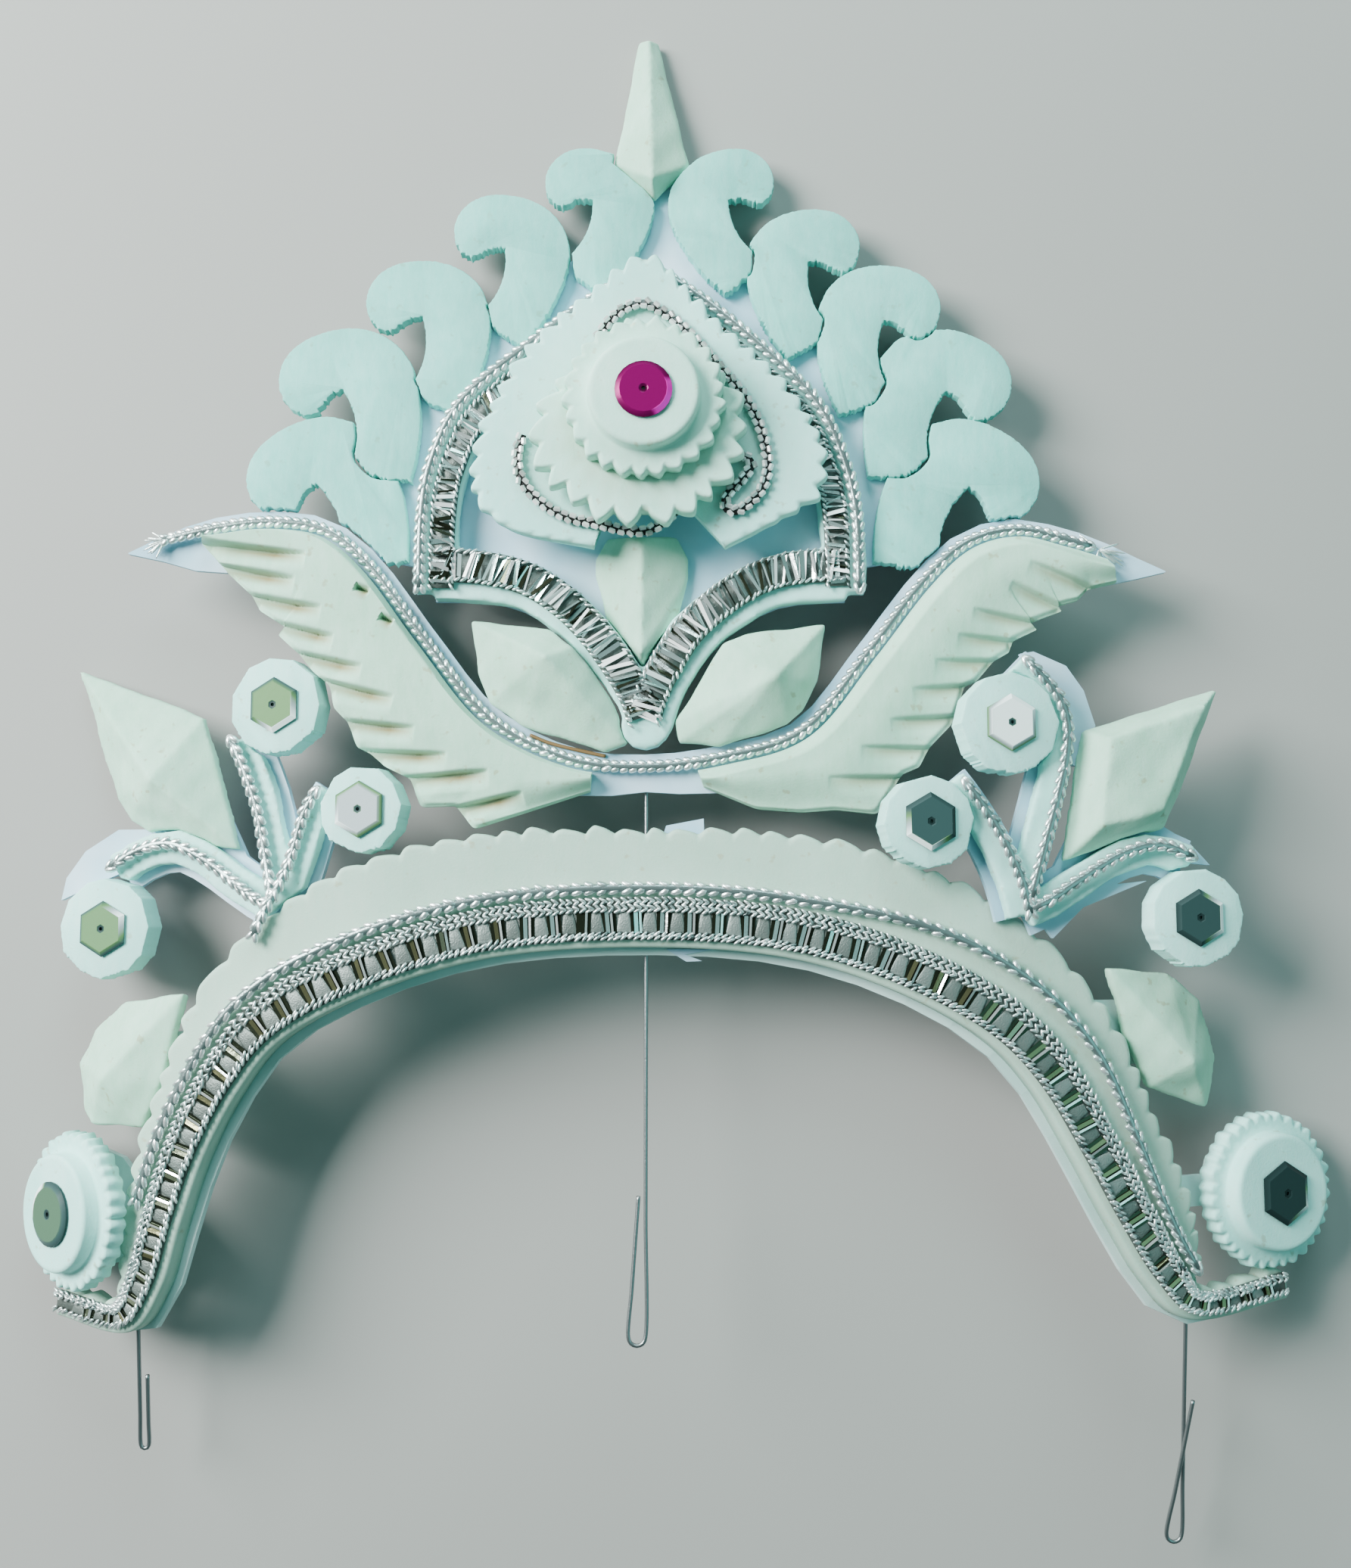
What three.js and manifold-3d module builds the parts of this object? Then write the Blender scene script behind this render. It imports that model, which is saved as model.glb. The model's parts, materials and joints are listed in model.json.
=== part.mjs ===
// A bridal crown of carved pith glued on card, trimmed with silver braid and sequins.
// It lies on its back, face up, on the back of its two band ends and of its crest tip.
// Crown axes while it is built: x across, y up the crown, z out of its face. All sizes are millimetres,
// and level 0 is the back of the wing card and of the band card.

import * as THREE from 'three';
import { mergeVertices } from 'three/addons/utils/BufferGeometryUtils.js';
import { ConvexGeometry } from 'three/addons/geometries/ConvexGeometry.js';
import Module from 'manifold-3d';

const wasm = await Module();
wasm.setup();

// Stock: card, pith, braid and wire.
const GAP = 0.3;
const CARD = 1;
const FACE = 3;
const ROPE_RADIUS = 0.95;
const LADDER = 1.4;
const BEAD_RADIUS = 0.75;
const WIRE_RADIUS = 0.33;
const SEQUIN = { thick: 0.7, table: 0.62 };

// Levels above the back of the wing card and band card.
const ON_CARD = CARD + GAP;
const FACE_TOP = ON_CARD + FACE;
const TRIM = FACE_TOP + GAP;
const BEHIND = -GAP;
const CREST_BASE = 0;
const CLEAR = 8;
const FRAME_TOP = CREST_BASE + FACE;
const FRAME_TRIM = FRAME_TOP + GAP;

// Steps along the long curves.
const STEPS = {
  bandCard: 32, bandTrim: 42, bandRope: 40, bandRoom: 54, ogive: 30, arch: 11, archLadder: 12,
  wingCard: 40, wingRope: 36, scroll: 4, floret: 8, floretRope: 8,
};

// Sides of round pieces.
const FACETS = { tube: 5, mirror: 6, bossSequin: 12, card: 12, roundel: 16, rosette: 20, room: 24 };

// The band bends back from a flat middle so that both ends reach the same depth.
const BAND = { flat: 35, sag: 20, leftReach: 98, rightReach: 106, teeth: 48, toothDepth: 1.1 };
const BAND_CARD = { past: 1.2, inside: 1.6 };
const BAND_ROPE = { most: 9, base: 4.6, perFace: 0.25, leftTrim: 6, rightTrim: 4 };
// On the right the rope runs further from the ladder between these places, and eases in and out.
const ROPE_SHIFT = { most: 2.2, from: 20, full: 45, ease: 58, end: 73 };
const BAND_LADDER = { inner: 1.2, ropeGap: 0.5 };

// Inner edge of the band on each side, from near its middle to its end, with the width of the face there.
const BROW_MIDDLE = { x: 0, y: 59.3, face: 18.4 };
const BROW = {
  left: [
    { x: 24, y: 57.6, face: 19.4 }, { x: 41, y: 52.6, face: 19.4 }, { x: 55, y: 45, face: 16 },
    { x: 60.8, y: 38, face: 13.4 }, { x: 66.2, y: 28, face: 11.6 }, { x: 70, y: 17, face: 10.4 },
    { x: 73, y: 7, face: 8.6 }, { x: 78, y: 0.2, face: 5.4 }, { x: 91.5, y: 1, face: 5 },
  ],
  right: [
    { x: 22, y: 57.6, face: 19.2 }, { x: 38, y: 52.6, face: 19.6 }, { x: 51.4, y: 45, face: 18.2 },
    { x: 58, y: 38, face: 16.8 }, { x: 64, y: 28, face: 15.2 }, { x: 70, y: 17, face: 14.2 },
    { x: 75.6, y: 8, face: 11.2 }, { x: 82, y: 2.2, face: 6 }, { x: 100, y: 3.4, face: 5.4 },
  ],
};

// Line of the wing rope from the middle outwards: distance from the middle, then its height on each side.
const WING_LINE = [
  { x: 0, left: 87.1, right: 87.1 },
  { x: 12, left: 88.3, right: 88.6 },
  { x: 24.5, left: 94.8, right: 92.8 },
  { x: 34.5, left: 107, right: 104.8 },
  { x: 43, left: 118.4, right: 115.8 },
  { x: 50, left: 124.2, right: 122.3 },
  { x: 58, left: 125.7, right: 124.5 },
  { x: 66, left: 125, right: 122.8 },
  { x: 76, left: 122.7, right: 119.7 },
  { x: 81.6, left: 121, right: 118.1 },
];
const WING = { bodyGap: 1.35, endInset: 1, body: 3.7, tip: 1.7, ropeReach: { left: 77, right: 71 } };
const WING_CARD = { above: 2, below: 7, belowMiddle: 3.8, middleHalf: 24, taper: 12, point: 0.02 };

// Lower edge of each wing from the outer tip to the middle: every feather tip and the notch after it.
const WING_EDGE = {
  left: [
    { x: 69.8, y: 122.3, notchX: 66.6, notchY: 118.8 },
    { x: 65.5, y: 117.5, notchX: 61.7, notchY: 114 },
    { x: 60.4, y: 111.6, notchX: 56.5, notchY: 109.1 },
    { x: 57.5, y: 107.8, notchX: 54.1, notchY: 104.7 },
    { x: 52, y: 102.1, notchX: 49.3, notchY: 99.8 },
    { x: 48.4, y: 96.2, notchX: 46.4, notchY: 94.1 },
    { x: 44.7, y: 90.1, notchX: 42.7, notchY: 89.1 },
    { x: 40.4, y: 87.1, notchX: 36.5, notchY: 85.2 },
    { x: 34.7, y: 80.8, notchX: 29.4, notchY: 81 },
    { x: 26.5, y: 77.4, notchX: 18.4, notchY: 80 },
    { x: 8.6, y: 83.2 },
  ],
  right: [
    { x: 73.4, y: 116, notchX: 69.1, notchY: 115 },
    { x: 67.4, y: 113.2, notchX: 64, notchY: 112.3 },
    { x: 65, y: 111.6, notchX: 59, notchY: 109.3 },
    { x: 61.1, y: 108.7, notchX: 57.2, notchY: 106.8 },
    { x: 56.5, y: 105, notchX: 54.1, notchY: 103.6 },
    { x: 51.3, y: 100.4, notchX: 49.5, notchY: 99.6 },
    { x: 47.5, y: 93.8, notchX: 44, notchY: 90.2 },
    { x: 42.2, y: 87, notchX: 39.6, notchY: 85.9 },
    { x: 35.7, y: 79.7, notchX: 29.3, notchY: 80.4 },
    { x: 24.1, y: 80, notchX: 17.1, notchY: 80.5 },
    { x: 8.9, y: 83.9 },
  ],
};

// Line of the crest rope from the apex to the lower corners, and of the lower braid from there to the V.
const CREST_LINE = [
  { y: 165.6, left: 0, right: 0 },
  { y: 162.1, left: 7.1, right: 7.4 },
  { y: 153.8, left: 18.4, right: 17.6 },
  { y: 144.6, left: 29, right: 26.6 },
  { y: 134.9, left: 33.6, right: 31 },
  { y: 126.4, left: 35, right: 32.8 },
  { y: 114.4, left: 35.2, right: 33.1 },
];
const ARCH_LINE = [
  { y: 118.6, left: 33, right: 31 },
  { y: 118, left: 25.1, right: 23 },
  { y: 116.4, left: 18.8, right: 17.4 },
  { y: 113, left: 13.2, right: 11.8 },
  { y: 108.5, left: 8.6, right: 6.8 },
  { y: 103.7, left: 5, right: 3.6 },
  { y: 98.4, left: 1.8, right: 0.9 },
  { y: 93.8, left: 0.2, right: -0.4 },
];
const FRAME = {
  outer: 1.15, inner: 5.6, above: 2.9, corner: 5.4, taper: { left: 2.4, right: 1 },
  tip: { x: 0, y: 93.6, radius: 3.9 },
};
const CREST_LADDER = { offset: 3.3, half: 1.95, archHalf: 2.6 };

// Edge of the crest card on both sides, from its tip down to the lower corners.
const CREST_CARD = [
  { y: 197, left: 0.2, right: 1.2 },
  { y: 186, left: 3.2, right: 4.6 },
  { y: 171, left: 10, right: 13 },
  { y: 160.4, left: 23.4, right: 25.8 },
  { y: 150, left: 35.4, right: 35.2 },
  { y: 139.6, left: 43.6, right: 43 },
  { y: 128, left: 45, right: 44.4 },
  { y: 120.4, left: 43.4, right: 42.6 },
];

// Scrolls of the crest: the place of each foot, how far the scroll leans out, and its height.
const SCROLLS = [
  { name: 'scroll_left_1', side: -1, x: 7.2, y: 162.6, lean: -5, height: 24.4 },
  { name: 'scroll_left_2', side: -1, x: 19.7, y: 154.2, lean: 0, height: 25.3 },
  { name: 'scroll_left_3', side: -1, x: 29.7, y: 143, lean: 10, height: 26.4 },
  { name: 'scroll_left_4', side: -1, x: 37.2, y: 132.4, lean: 26, height: 28.2 },
  { name: 'scroll_left_5', side: -1, x: 37.4, y: 119.4, lean: 39, height: 29.6 },
  { name: 'scroll_right_1', side: 1, x: 12.6, y: 162.8, lean: -9, height: 24 },
  { name: 'scroll_right_2', side: 1, x: 22.3, y: 152.2, lean: 2, height: 25 },
  { name: 'scroll_right_3', side: 1, x: 30.4, y: 143.2, lean: 15, height: 26 },
  { name: 'scroll_right_4', side: 1, x: 35, y: 133, lean: 31, height: 28.6 },
  { name: 'scroll_right_5', side: 1, x: 35.6, y: 119.4, lean: 41, height: 29.8 },
];
const SCROLL = { thick: 2, drawnHeight: 25.3 };

const SPIRE = {
  foot: { x: 1.2, y: 178.6 }, left: { x: -5.3, y: 184.8 }, right: { x: 6.7, y: 184.6 },
  tipLeft: { x: -1.3, y: 205.4 }, tipRight: { x: 1.8, y: 205.4 },
  edge: 1.2, ridge: { x: 0.8, y: 180.6, z: 5 }, tipRidge: { x: 0.25, y: 205.2, z: 2.6 },
};
const STEM = {
  x: -0.7, foot: 102.6, edge: 1.2, ridge: 4.6, ridgeTop: 122.6, ridgeFoot: 104.6,
  halves: [
    { y: 108.6, half: 5 }, { y: 117.2, half: 7.3 }, { y: 120, half: 7.3 }, { y: 123.4, half: 5.4 },
  ],
};

// Diamonds beside the V: corners of the base and the raised point.
const DIAMONDS = {
  left: {
    corners: [
      { x: -27.4, y: 110 }, { x: -14.1, y: 108.5 }, { x: -7.6, y: 107.1 }, { x: -3, y: 90.6 },
      { x: -6.3, y: 89.4 }, { x: -18.8, y: 93.3 }, { x: -24.2, y: 97 }, { x: -26.1, y: 101.7 },
    ],
    peak: { x: -15.4, y: 103.4 },
  },
  right: {
    corners: [
      { x: 28, y: 109.4 }, { x: 15.5, y: 107.9 }, { x: 11.9, y: 106.5 }, { x: 4.6, y: 94 },
      { x: 5.1, y: 90.8 }, { x: 11.3, y: 90.2 }, { x: 17.2, y: 92 }, { x: 21.9, y: 93.6 },
      { x: 24.2, y: 95.8 }, { x: 26.6, y: 100.5 },
    ],
    peak: { x: 20, y: 100.6 },
  },
};
const DIAMOND = { edge: 1.4, height: 6.4 };

// Boss of the crest: the two outer leaves and the petal plate have toothed edges, given side by side.
const BOSS = { x: -0.2, y: 141.6 };
const LEAVES = [
  { y: 165.4, left: 2.6, right: 2.4 },
  { y: 159.7, left: 8.8, right: 6.6 },
  { y: 153.6, left: 15.6, right: 12.8 },
  { y: 147.5, left: 20.4, right: 19.4 },
  { y: 141.5, left: 23.6, right: 24 },
  { y: 135.5, left: 25.6, right: 26.8 },
  { y: 129.5, left: 25.8, right: 25.8 },
  { y: 123.8, left: 21.6, right: 18.6 },
  { y: 120.4, left: 8, right: 12.2 },
];
const LEAF_NOTCH = { left: 6.8, right: 7.2, y: 126, top: 138 };
const PETALS = [
  { y: 153.8, left: 0.8, right: 0.4 },
  { y: 150.6, left: 5, right: 4.6 },
  { y: 146.4, left: 9.8, right: 9.6 },
  { y: 141.6, left: 14.2, right: 13.2 },
  { y: 136.6, left: 16, right: 13.4 },
  { y: 132.2, left: 14.4, right: 12.2 },
  { y: 128.4, left: 10.8, right: 8.6 },
  { y: 125.6, left: 6.2, right: 5.6 },
  { y: 124.8, left: 0.6, right: 0.4 },
];
const TEETH = { leafPitch: 3.4, leafDepth: 1.7, petalPitch: 3.9, petalDepth: 2.1 };
const LEAVES_LOW = 5.5;
const LEAVES_TOP = LEAVES_LOW + 2;
const PETALS_LOW = LEAVES_TOP + 2 * BEAD_RADIUS + 2 * GAP;
const PETALS_TOP = PETALS_LOW + 2.6;
const BOSS_PAD = { leaves: 10, petals: 9, overlap: 0.5 };
const BOSS_ROSETTE = { radius: 12.4, teeth: 28, toothDepth: 1.2, rim: 2.5, discRadius: 8.5, disc: 2.5 };
const BOSS_SEQUIN_RADIUS = 4.3;

// Route of the bead cord on the leaves: round the petals from the left, under them to a loop at the lower
// right, and up over the top.
const BEAD_ROUTE = [
  { x: -19, y: 137.8 }, { x: -19.8, y: 134.4 }, { x: -19, y: 130.5 }, { x: -15.9, y: 127 },
  { x: -12, y: 124.8 }, { x: -7.4, y: 123.8 }, { x: -3.2, y: 122.8 }, { x: 0.4, y: 122.8 },
  { x: 3.8, y: 125 }, { x: 7.2, y: 129 }, { x: 11, y: 133 }, { x: 14.6, y: 134.6 }, { x: 16.2, y: 133.2 },
  { x: 14.8, y: 130.8 }, { x: 12.4, y: 128.2 }, { x: 12.2, y: 126.4 }, { x: 13.6, y: 125.8 },
  { x: 15.8, y: 127 }, { x: 18, y: 129.7 }, { x: 18.7, y: 132.8 }, { x: 18.2, y: 136.8 },
  { x: 16.7, y: 141.1 }, { x: 14.2, y: 145.1 }, { x: 11.3, y: 148.5 }, { x: 8.6, y: 151.7 },
  { x: 5.7, y: 154.9 }, { x: 2.6, y: 157.3 }, { x: -0.2, y: 158.7 }, { x: -2.9, y: 158.1 },
  { x: -5.6, y: 155.9 }, { x: -7.5, y: 153.1 },
];

// Florets on the band. Places are measured from the foot of each floret: u outwards, v up the crown.
// Stem routes also give how far the rope on the stem rises over the band, and rhomb peaks give their height.
const FLORET = {
  stem: 2.2, disc: 4, discBevel: 0.65, rhombEdge: 1.4, cardInset: 1.2, cardPast: 1.3,
};
const FLORETS = {
  left: {
    x: 58, y: 63, level: -GAP,
    discs: [
      { name: 'outer', u: 27.4, v: -0.9, radius: 8 },
      { name: 'upper', u: -0.9, v: 33.8, radius: 7.8 },
      { name: 'inner', u: -15.4, v: 17.3, radius: 6.9 },
    ],
    stems: [
      {
        plus: 2.2, minus: 3,
        route: [
          [-0.6, 3, 2], [3, 4.8, 1.2], [6.4, 7, 0], [11.6, 10.4, 0], [17, 12.5, 0], [22.4, 11.4, 0],
          [27, 8.8, 0],
        ],
      },
      {
        plus: 3, minus: 1.2,
        route: [
          [-1.6, 4.2, 1.6], [-0.4, 7.4, 0.4], [0.6, 11.6, 0], [2.2, 18.4, 0], [4.4, 24, 0], [6.6, 28.6, 0],
        ],
      },
      {
        plus: 3, minus: 1.2,
        route: [
          [0.8, -2.2, 2.6], [-1, 1.8, 2.6], [-2.4, 5.6, 1], [-4, 10.4, 0], [-6, 17, 0], [-8.2, 20.8, 0],
        ],
      },
    ],
    rhomb: [[35, 40.8], [12.6, 32.6], [6, 11.4], [21.6, 14.2], [24.8, 16.3], [27.3, 19.8], [31.2, 31]],
    peaks: [[18.7, 22.4, 6.6]],
    cards: [
      [[-5, -5], [4, -5], [4, 6], [-5, 6]],
      [[2, 4], [20.6, 14.6], [18.6, 21.6], [12.6, 24.6]],
      [[37.9, 3.7], [37.1, 7.3], [33.8, 11.6], [28, 15], [20.7, 15], [15.1, 12.5], [30, 7]],
    ],
  },
  right: {
    x: 57.5, y: 63.5, level: FACE + CARD + CARD + 3 * GAP,
    discs: [
      { name: 'outer', u: 25.4, v: 0.3, radius: 7.7 },
      { name: 'upper', u: -4.1, v: 29.6, radius: 8 },
      { name: 'inner', u: -17, v: 14.5, radius: 7.2 },
    ],
    stems: [
      {
        plus: 1.8, minus: 3,
        route: [[-1.4, 1.6, 0], [1.6, 2.8, 0], [6.4, 5.9, 0], [14.2, 10.2, 0], [20, 11.4, 0], [25.6, 9.4, 0]],
      },
      {
        plus: 3, minus: 1.2,
        route: [
          [-1.2, 3, 0], [0.6, 9, 0], [3.4, 18.4, 0], [4.9, 24.4, 0], [5.3, 29.6, 0], [3.9, 34, 0],
          [-1.4, 39.6, 0],
        ],
      },
      {
        plus: 3, minus: 1.2,
        route: [[-1.2, 0.6, 0], [-2.6, 6, 0], [-5.4, 12.2, 0], [-8.8, 17.5, 0], [-11.8, 21.3, 0]],
      },
    ],
    rhomb: [[31, 35.9], [8.8, 29], [5, 8.9], [21.6, 14], [26.8, 25.1]],
    peaks: [[26.8, 32.6, 5.4], [11.4, 27.4, 5.4], [9.6, 14, 5.4], [19.6, 16.6, 5.4]],
    cards: [
      [[2, 4], [17, 13.4], [18, 19.6], [12, 22.6]],
      [[-0.5, 41], [1.6, 41.4], [6.9, 39.3], [9.7, 35.5], [11.5, 30], [8, 23.6], [4.6, 26], [3.6, 35]],
      [[19.6, 13.9], [22.4, 14.4], [26.5, 12], [29.9, 8.5], [16.6, 9.7]],
      [[1.3, 0.2], [3.8, -2.8], [8.8, 1.9], [19.3, 6], [8.2, 4.8]],
    ],
  },
};
const MIRROR_RADIUS = 4.4;
const END_MIRROR_RADIUS = 5;

// Rosettes at the band ends, and the faceted leaves at its sides.
const ENDS = {
  left: { x: 87.6, y: 17.8, extraTurn: 10, lift: 2.2, neck: 13 },
  right: { x: 97, y: 20.8, extraTurn: -5, lift: 1.4, neck: 22 },
};
const END_ROSETTE = { radius: 12.3, teeth: 28, toothDepth: 1.1, rim: 2.7, discRadius: 9.2, disc: 2.6 };
const END_TAB = { radius: 9.4, neckHalf: 2.4 };
const SIDE_LEAVES = {
  left: {
    x: 81, y: 41,
    outline: [[-11, 11], [1, 9.4], [7, 5], [10, -0.4], [9, -7.4], [7, -10], [-3.4, -10], [-7, -2.6]],
    peak: [1.4, -2.4],
  },
  right: {
    x: 82, y: 46,
    outline: [[-12, 10], [-1, 9.2], [5, 5], [7.8, -4.2], [5.8, -12], [-5, -8.4], [-8.6, -1.4]],
    peak: [0.4, -4.4],
  },
};
const SIDE_LEAF = { edge: 1.6, height: 5.6, tabIn: 12.5, tabOut: 2.4, tabHalf: 5 };

// Wire pins: each runs down from its top and bends back on itself in an eye. The free end stops at end,
// shifted across, and the side pins also drop towards the surface and may lift at the free end.
const PINS = [
  { name: 'wire_centre', x: 0, top: 88, bottom: 0.6, end: 21.5, turn: -1.3, across: 1.5, drop: 0, lift: 0 },
  { name: 'wire_left', x: -80.8, top: 6, bottom: -19.6, end: -8.4, turn: 0.65, across: 0, drop: 4, lift: 0 },
  { name: 'wire_right', x: 85.4, top: 6, bottom: -34, end: -12, turn: -1.2, across: 3.4, drop: 6, lift: 1.2 },
];
const PIN_STEPS = { leg: 6, eye: 4, free: 3 };

const MATERIALS = {
  pith: new THREE.MeshStandardMaterial({ color: 0xdde8df, roughness: 0.85, metalness: 0 }),
  card: new THREE.MeshStandardMaterial({ color: 0xc3dbea, roughness: 0.8, metalness: 0 }),
  silver: new THREE.MeshStandardMaterial({ color: 0xc9cfd1, roughness: 0.3, metalness: 1 }),
  mirror: new THREE.MeshStandardMaterial({ color: 0xd9dedb, roughness: 0.08, metalness: 1 }),
  magenta: new THREE.MeshStandardMaterial({ color: 0xb5006e, roughness: 0.2, metalness: 0.6 }),
  wire: new THREE.MeshStandardMaterial({ color: 0x83898c, roughness: 0.4, metalness: 1 }),
};

const crown = new THREE.Group();
const SIDES = ['left', 'right'];
const sideSign = { left: -1, right: 1 };

// Helpers for closed meshes and joins.
const vector = ({ x, y }) => new THREE.Vector2(x, y);

function signedVolume(geometry) {
  const { position } = geometry.toNonIndexed().attributes;
  const [a, b, c] = [new THREE.Vector3(), new THREE.Vector3(), new THREE.Vector3()];
  let volume = 0;
  for (let i = 0; i < position.count; i += 3) {
    a.fromBufferAttribute(position, i);
    b.fromBufferAttribute(position, i + 1);
    c.fromBufferAttribute(position, i + 2);
    volume += a.dot(b.cross(c)) / 6;
  }
  return volume;
}

// Welds a mesh and turns its faces outwards.
function closed(geometry) {
  const bare = geometry.clone();
  bare.deleteAttribute('normal');
  bare.deleteAttribute('uv');
  const welded = mergeVertices(bare);
  if (signedVolume(welded) < 0) {
    welded.index.array.reverse();
  }
  return welded;
}

function solidOf(geometry) {
  const welded = closed(geometry);
  return new wasm.Manifold(new wasm.Mesh({
    numProp: 3,
    vertProperties: Float32Array.from(welded.attributes.position.array),
    triVerts: Uint32Array.from(welded.index.array),
  }));
}

function geometryOf(solid) {
  const mesh = solid.getMesh();
  const geometry = new THREE.BufferGeometry();
  geometry.setAttribute('position', new THREE.Float32BufferAttribute(Array.from(mesh.vertProperties), 3));
  geometry.setIndex(Array.from(mesh.triVerts));
  return geometry;
}

const joined = (geometries) => geometries.map(solidOf).reduce((whole, next) => whole.add(next));

// The main body that is left when a cut leaves crumbs behind.
const largestOf = (solid) => solid.decompose().sort((a, b) => b.volume() - a.volume())[0];

function addPiece(parent, name, geometry, material) {
  const mesh = new THREE.Mesh(closed(geometry), material);
  mesh.name = name;
  parent.add(mesh);
}

// Plates, strips, tubes and turned discs.
function plate(outline, low, high) {
  const shape = new THREE.Shape(outline);
  return new THREE.ExtrudeGeometry(shape, { depth: high - low, bevelEnabled: false }).translate(0, 0, low);
}

const flatPlace = (point, level) => new THREE.Vector3(point.x, point.y, level);

// A strip through stations that each hold two edge points; place lifts a point to a level.
function strip(stations, low, high, place = flatPlace) {
  const corners = stations.flatMap(({ first, second }) => [
    place(first, low), place(second, low), place(second, high), place(first, high),
  ]);
  const index = [];
  const quad = (a, b, c, d) => index.push(a, b, c, a, c, d);
  for (let near = 0; near + 4 < corners.length; near += 4) {
    for (let side = 0; side < 4; side += 1) {
      const next = (side + 1) % 4;
      quad(near + side, near + next, near + 4 + next, near + 4 + side);
    }
  }
  const last = corners.length - 4;
  quad(3, 2, 1, 0);
  quad(last, last + 1, last + 2, last + 3);
  const geometry = new THREE.BufferGeometry().setFromPoints(corners);
  geometry.setIndex(index);
  return geometry;
}

// Left-hand normals of a polyline.
function normalsOf(points) {
  return points.map((point, i) => {
    const before = points[Math.max(i - 1, 0)];
    const after = points[Math.min(i + 1, points.length - 1)];
    const heading = after.clone().sub(before).normalize();
    return new THREE.Vector2(-heading.y, heading.x);
  });
}

// Stations of a strip along a polyline, plus to its left hand and minus to its right hand. A width may
// change along the line: it is then a function of the share of the line passed.
function along(points, plus, minus) {
  const normals = normalsOf(points);
  const reach = (width, i) => (typeof width === 'function' ? width(i / (points.length - 1)) : width);
  return points.map((point, i) => ({
    first: point.clone().addScaledVector(normals[i], reach(plus, i)),
    second: point.clone().addScaledVector(normals[i], -reach(minus, i)),
  }));
}

const spaced = (points, steps) => new THREE.SplineCurve(points).getSpacedPoints(steps);

function ring(radius, sides, centre = { x: 0, y: 0 }) {
  return Array.from({ length: sides }, (_, i) => {
    const angle = (2 * Math.PI * i) / sides;
    return new THREE.Vector2(centre.x + radius * Math.cos(angle), centre.y + radius * Math.sin(angle));
  });
}

function tube(points, radius, steps) {
  const section = new THREE.Shape(ring(radius, FACETS.tube));
  const extrudePath = new THREE.CatmullRomCurve3(points);
  return new THREE.ExtrudeGeometry(section, { steps, extrudePath, bevelEnabled: false });
}

// A curve that visits its own points one by one, so that a tight bend keeps its shape on a long run.
class PointCurve extends THREE.CatmullRomCurve3 {
  getPointAt(t, target) {
    return this.getPoint(t, target);
  }

  getTangentAt(t, target) {
    return this.getTangent(t, target);
  }
}

function tubeThrough(points, radius) {
  const section = new THREE.Shape(ring(radius, FACETS.tube));
  const extrudePath = new PointCurve(points);
  return new THREE.ExtrudeGeometry(section, { steps: points.length - 1, extrudePath, bevelEnabled: false });
}

// A disc turned about z, standing on a level.
function turned(profile, segments, level) {
  const points = profile.map(([radius, height]) => new THREE.Vector2(radius, height));
  return new THREE.LatheGeometry(points, segments).rotateX(Math.PI / 2).translate(0, 0, level);
}

// A toothed rim with a smooth disc carved on it.
function rosette({ radius, teeth, toothDepth, rim, discRadius, disc }, low) {
  const reach = (i) => (i % 2 ? radius - toothDepth : radius);
  const outline = ring(1, 2 * teeth).map((point, i) => point.multiplyScalar(reach(i)));
  const profile = [[0, -GAP], [discRadius, -GAP], [discRadius, disc], [0, disc]];
  const middle = turned(profile, FACETS.rosette, low + rim);
  return geometryOf(joined([plate(outline, low, low + rim), middle]));
}

// A cupped sequin.
function sequin(radius, sides, level) {
  const profile = [[0, 0], [radius, 0], [SEQUIN.table * radius, SEQUIN.thick], [0, SEQUIN.thick]];
  return turned(profile, sides, level);
}

// Teeth along a polyline that runs with the outside on its right hand.
function toothed(points, pitch, depth) {
  const curve = new THREE.SplineCurve(points);
  const teeth = Math.round(curve.getLength() / pitch);
  const dense = curve.getSpacedPoints(2 * teeth);
  const normals = normalsOf(dense);
  return dense.map((point, i) => point.addScaledVector(normals[i], i % 2 ? 0 : -depth));
}

// A faceted block: a base outline with a low edge, drawn up to raised points.
function faceted(outline, edge, low, peaks) {
  const points = outline.flatMap((point) => [flatPlace(point, low), flatPlace(point, low + edge)]);
  peaks.forEach((peak) => points.push(flatPlace(peak, low + peak.z)));
  return new ConvexGeometry(points);
}

// Moves every point of a closed outline outwards by a margin.
function grown(outline, margin) {
  return outline.map((point, i) => {
    const before = outline[(i + outline.length - 1) % outline.length];
    const after = outline[(i + 1) % outline.length];
    const heading = after.clone().sub(before).normalize();
    return new THREE.Vector2(point.x + heading.y * margin, point.y - heading.x * margin);
  });
}

// One side of a table with left and right columns.
const sideOf = (rows, side) => rows.map((row) => new THREE.Vector2(sideSign[side] * row[side], row.y));

// Both sides of such a table as one polyline, from the left end over the first row.
const leftToRight = (rows) => [...sideOf(rows.slice(1), 'left').reverse(), ...sideOf(rows, 'right')];

// The bend of the band: its turn at a distance from the middle, and the place of a point on it.
const bendRadius = (reach) => ((reach - BAND.flat) ** 2 + BAND.sag ** 2) / (2 * BAND.sag);
const radiusAt = (x) => bendRadius(x < 0 ? BAND.leftReach : BAND.rightReach);

function bandTurn(x) {
  const past = Math.max(Math.abs(x) - BAND.flat, 0);
  return Math.sign(x) * Math.asin(past / radiusAt(x));
}

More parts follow.
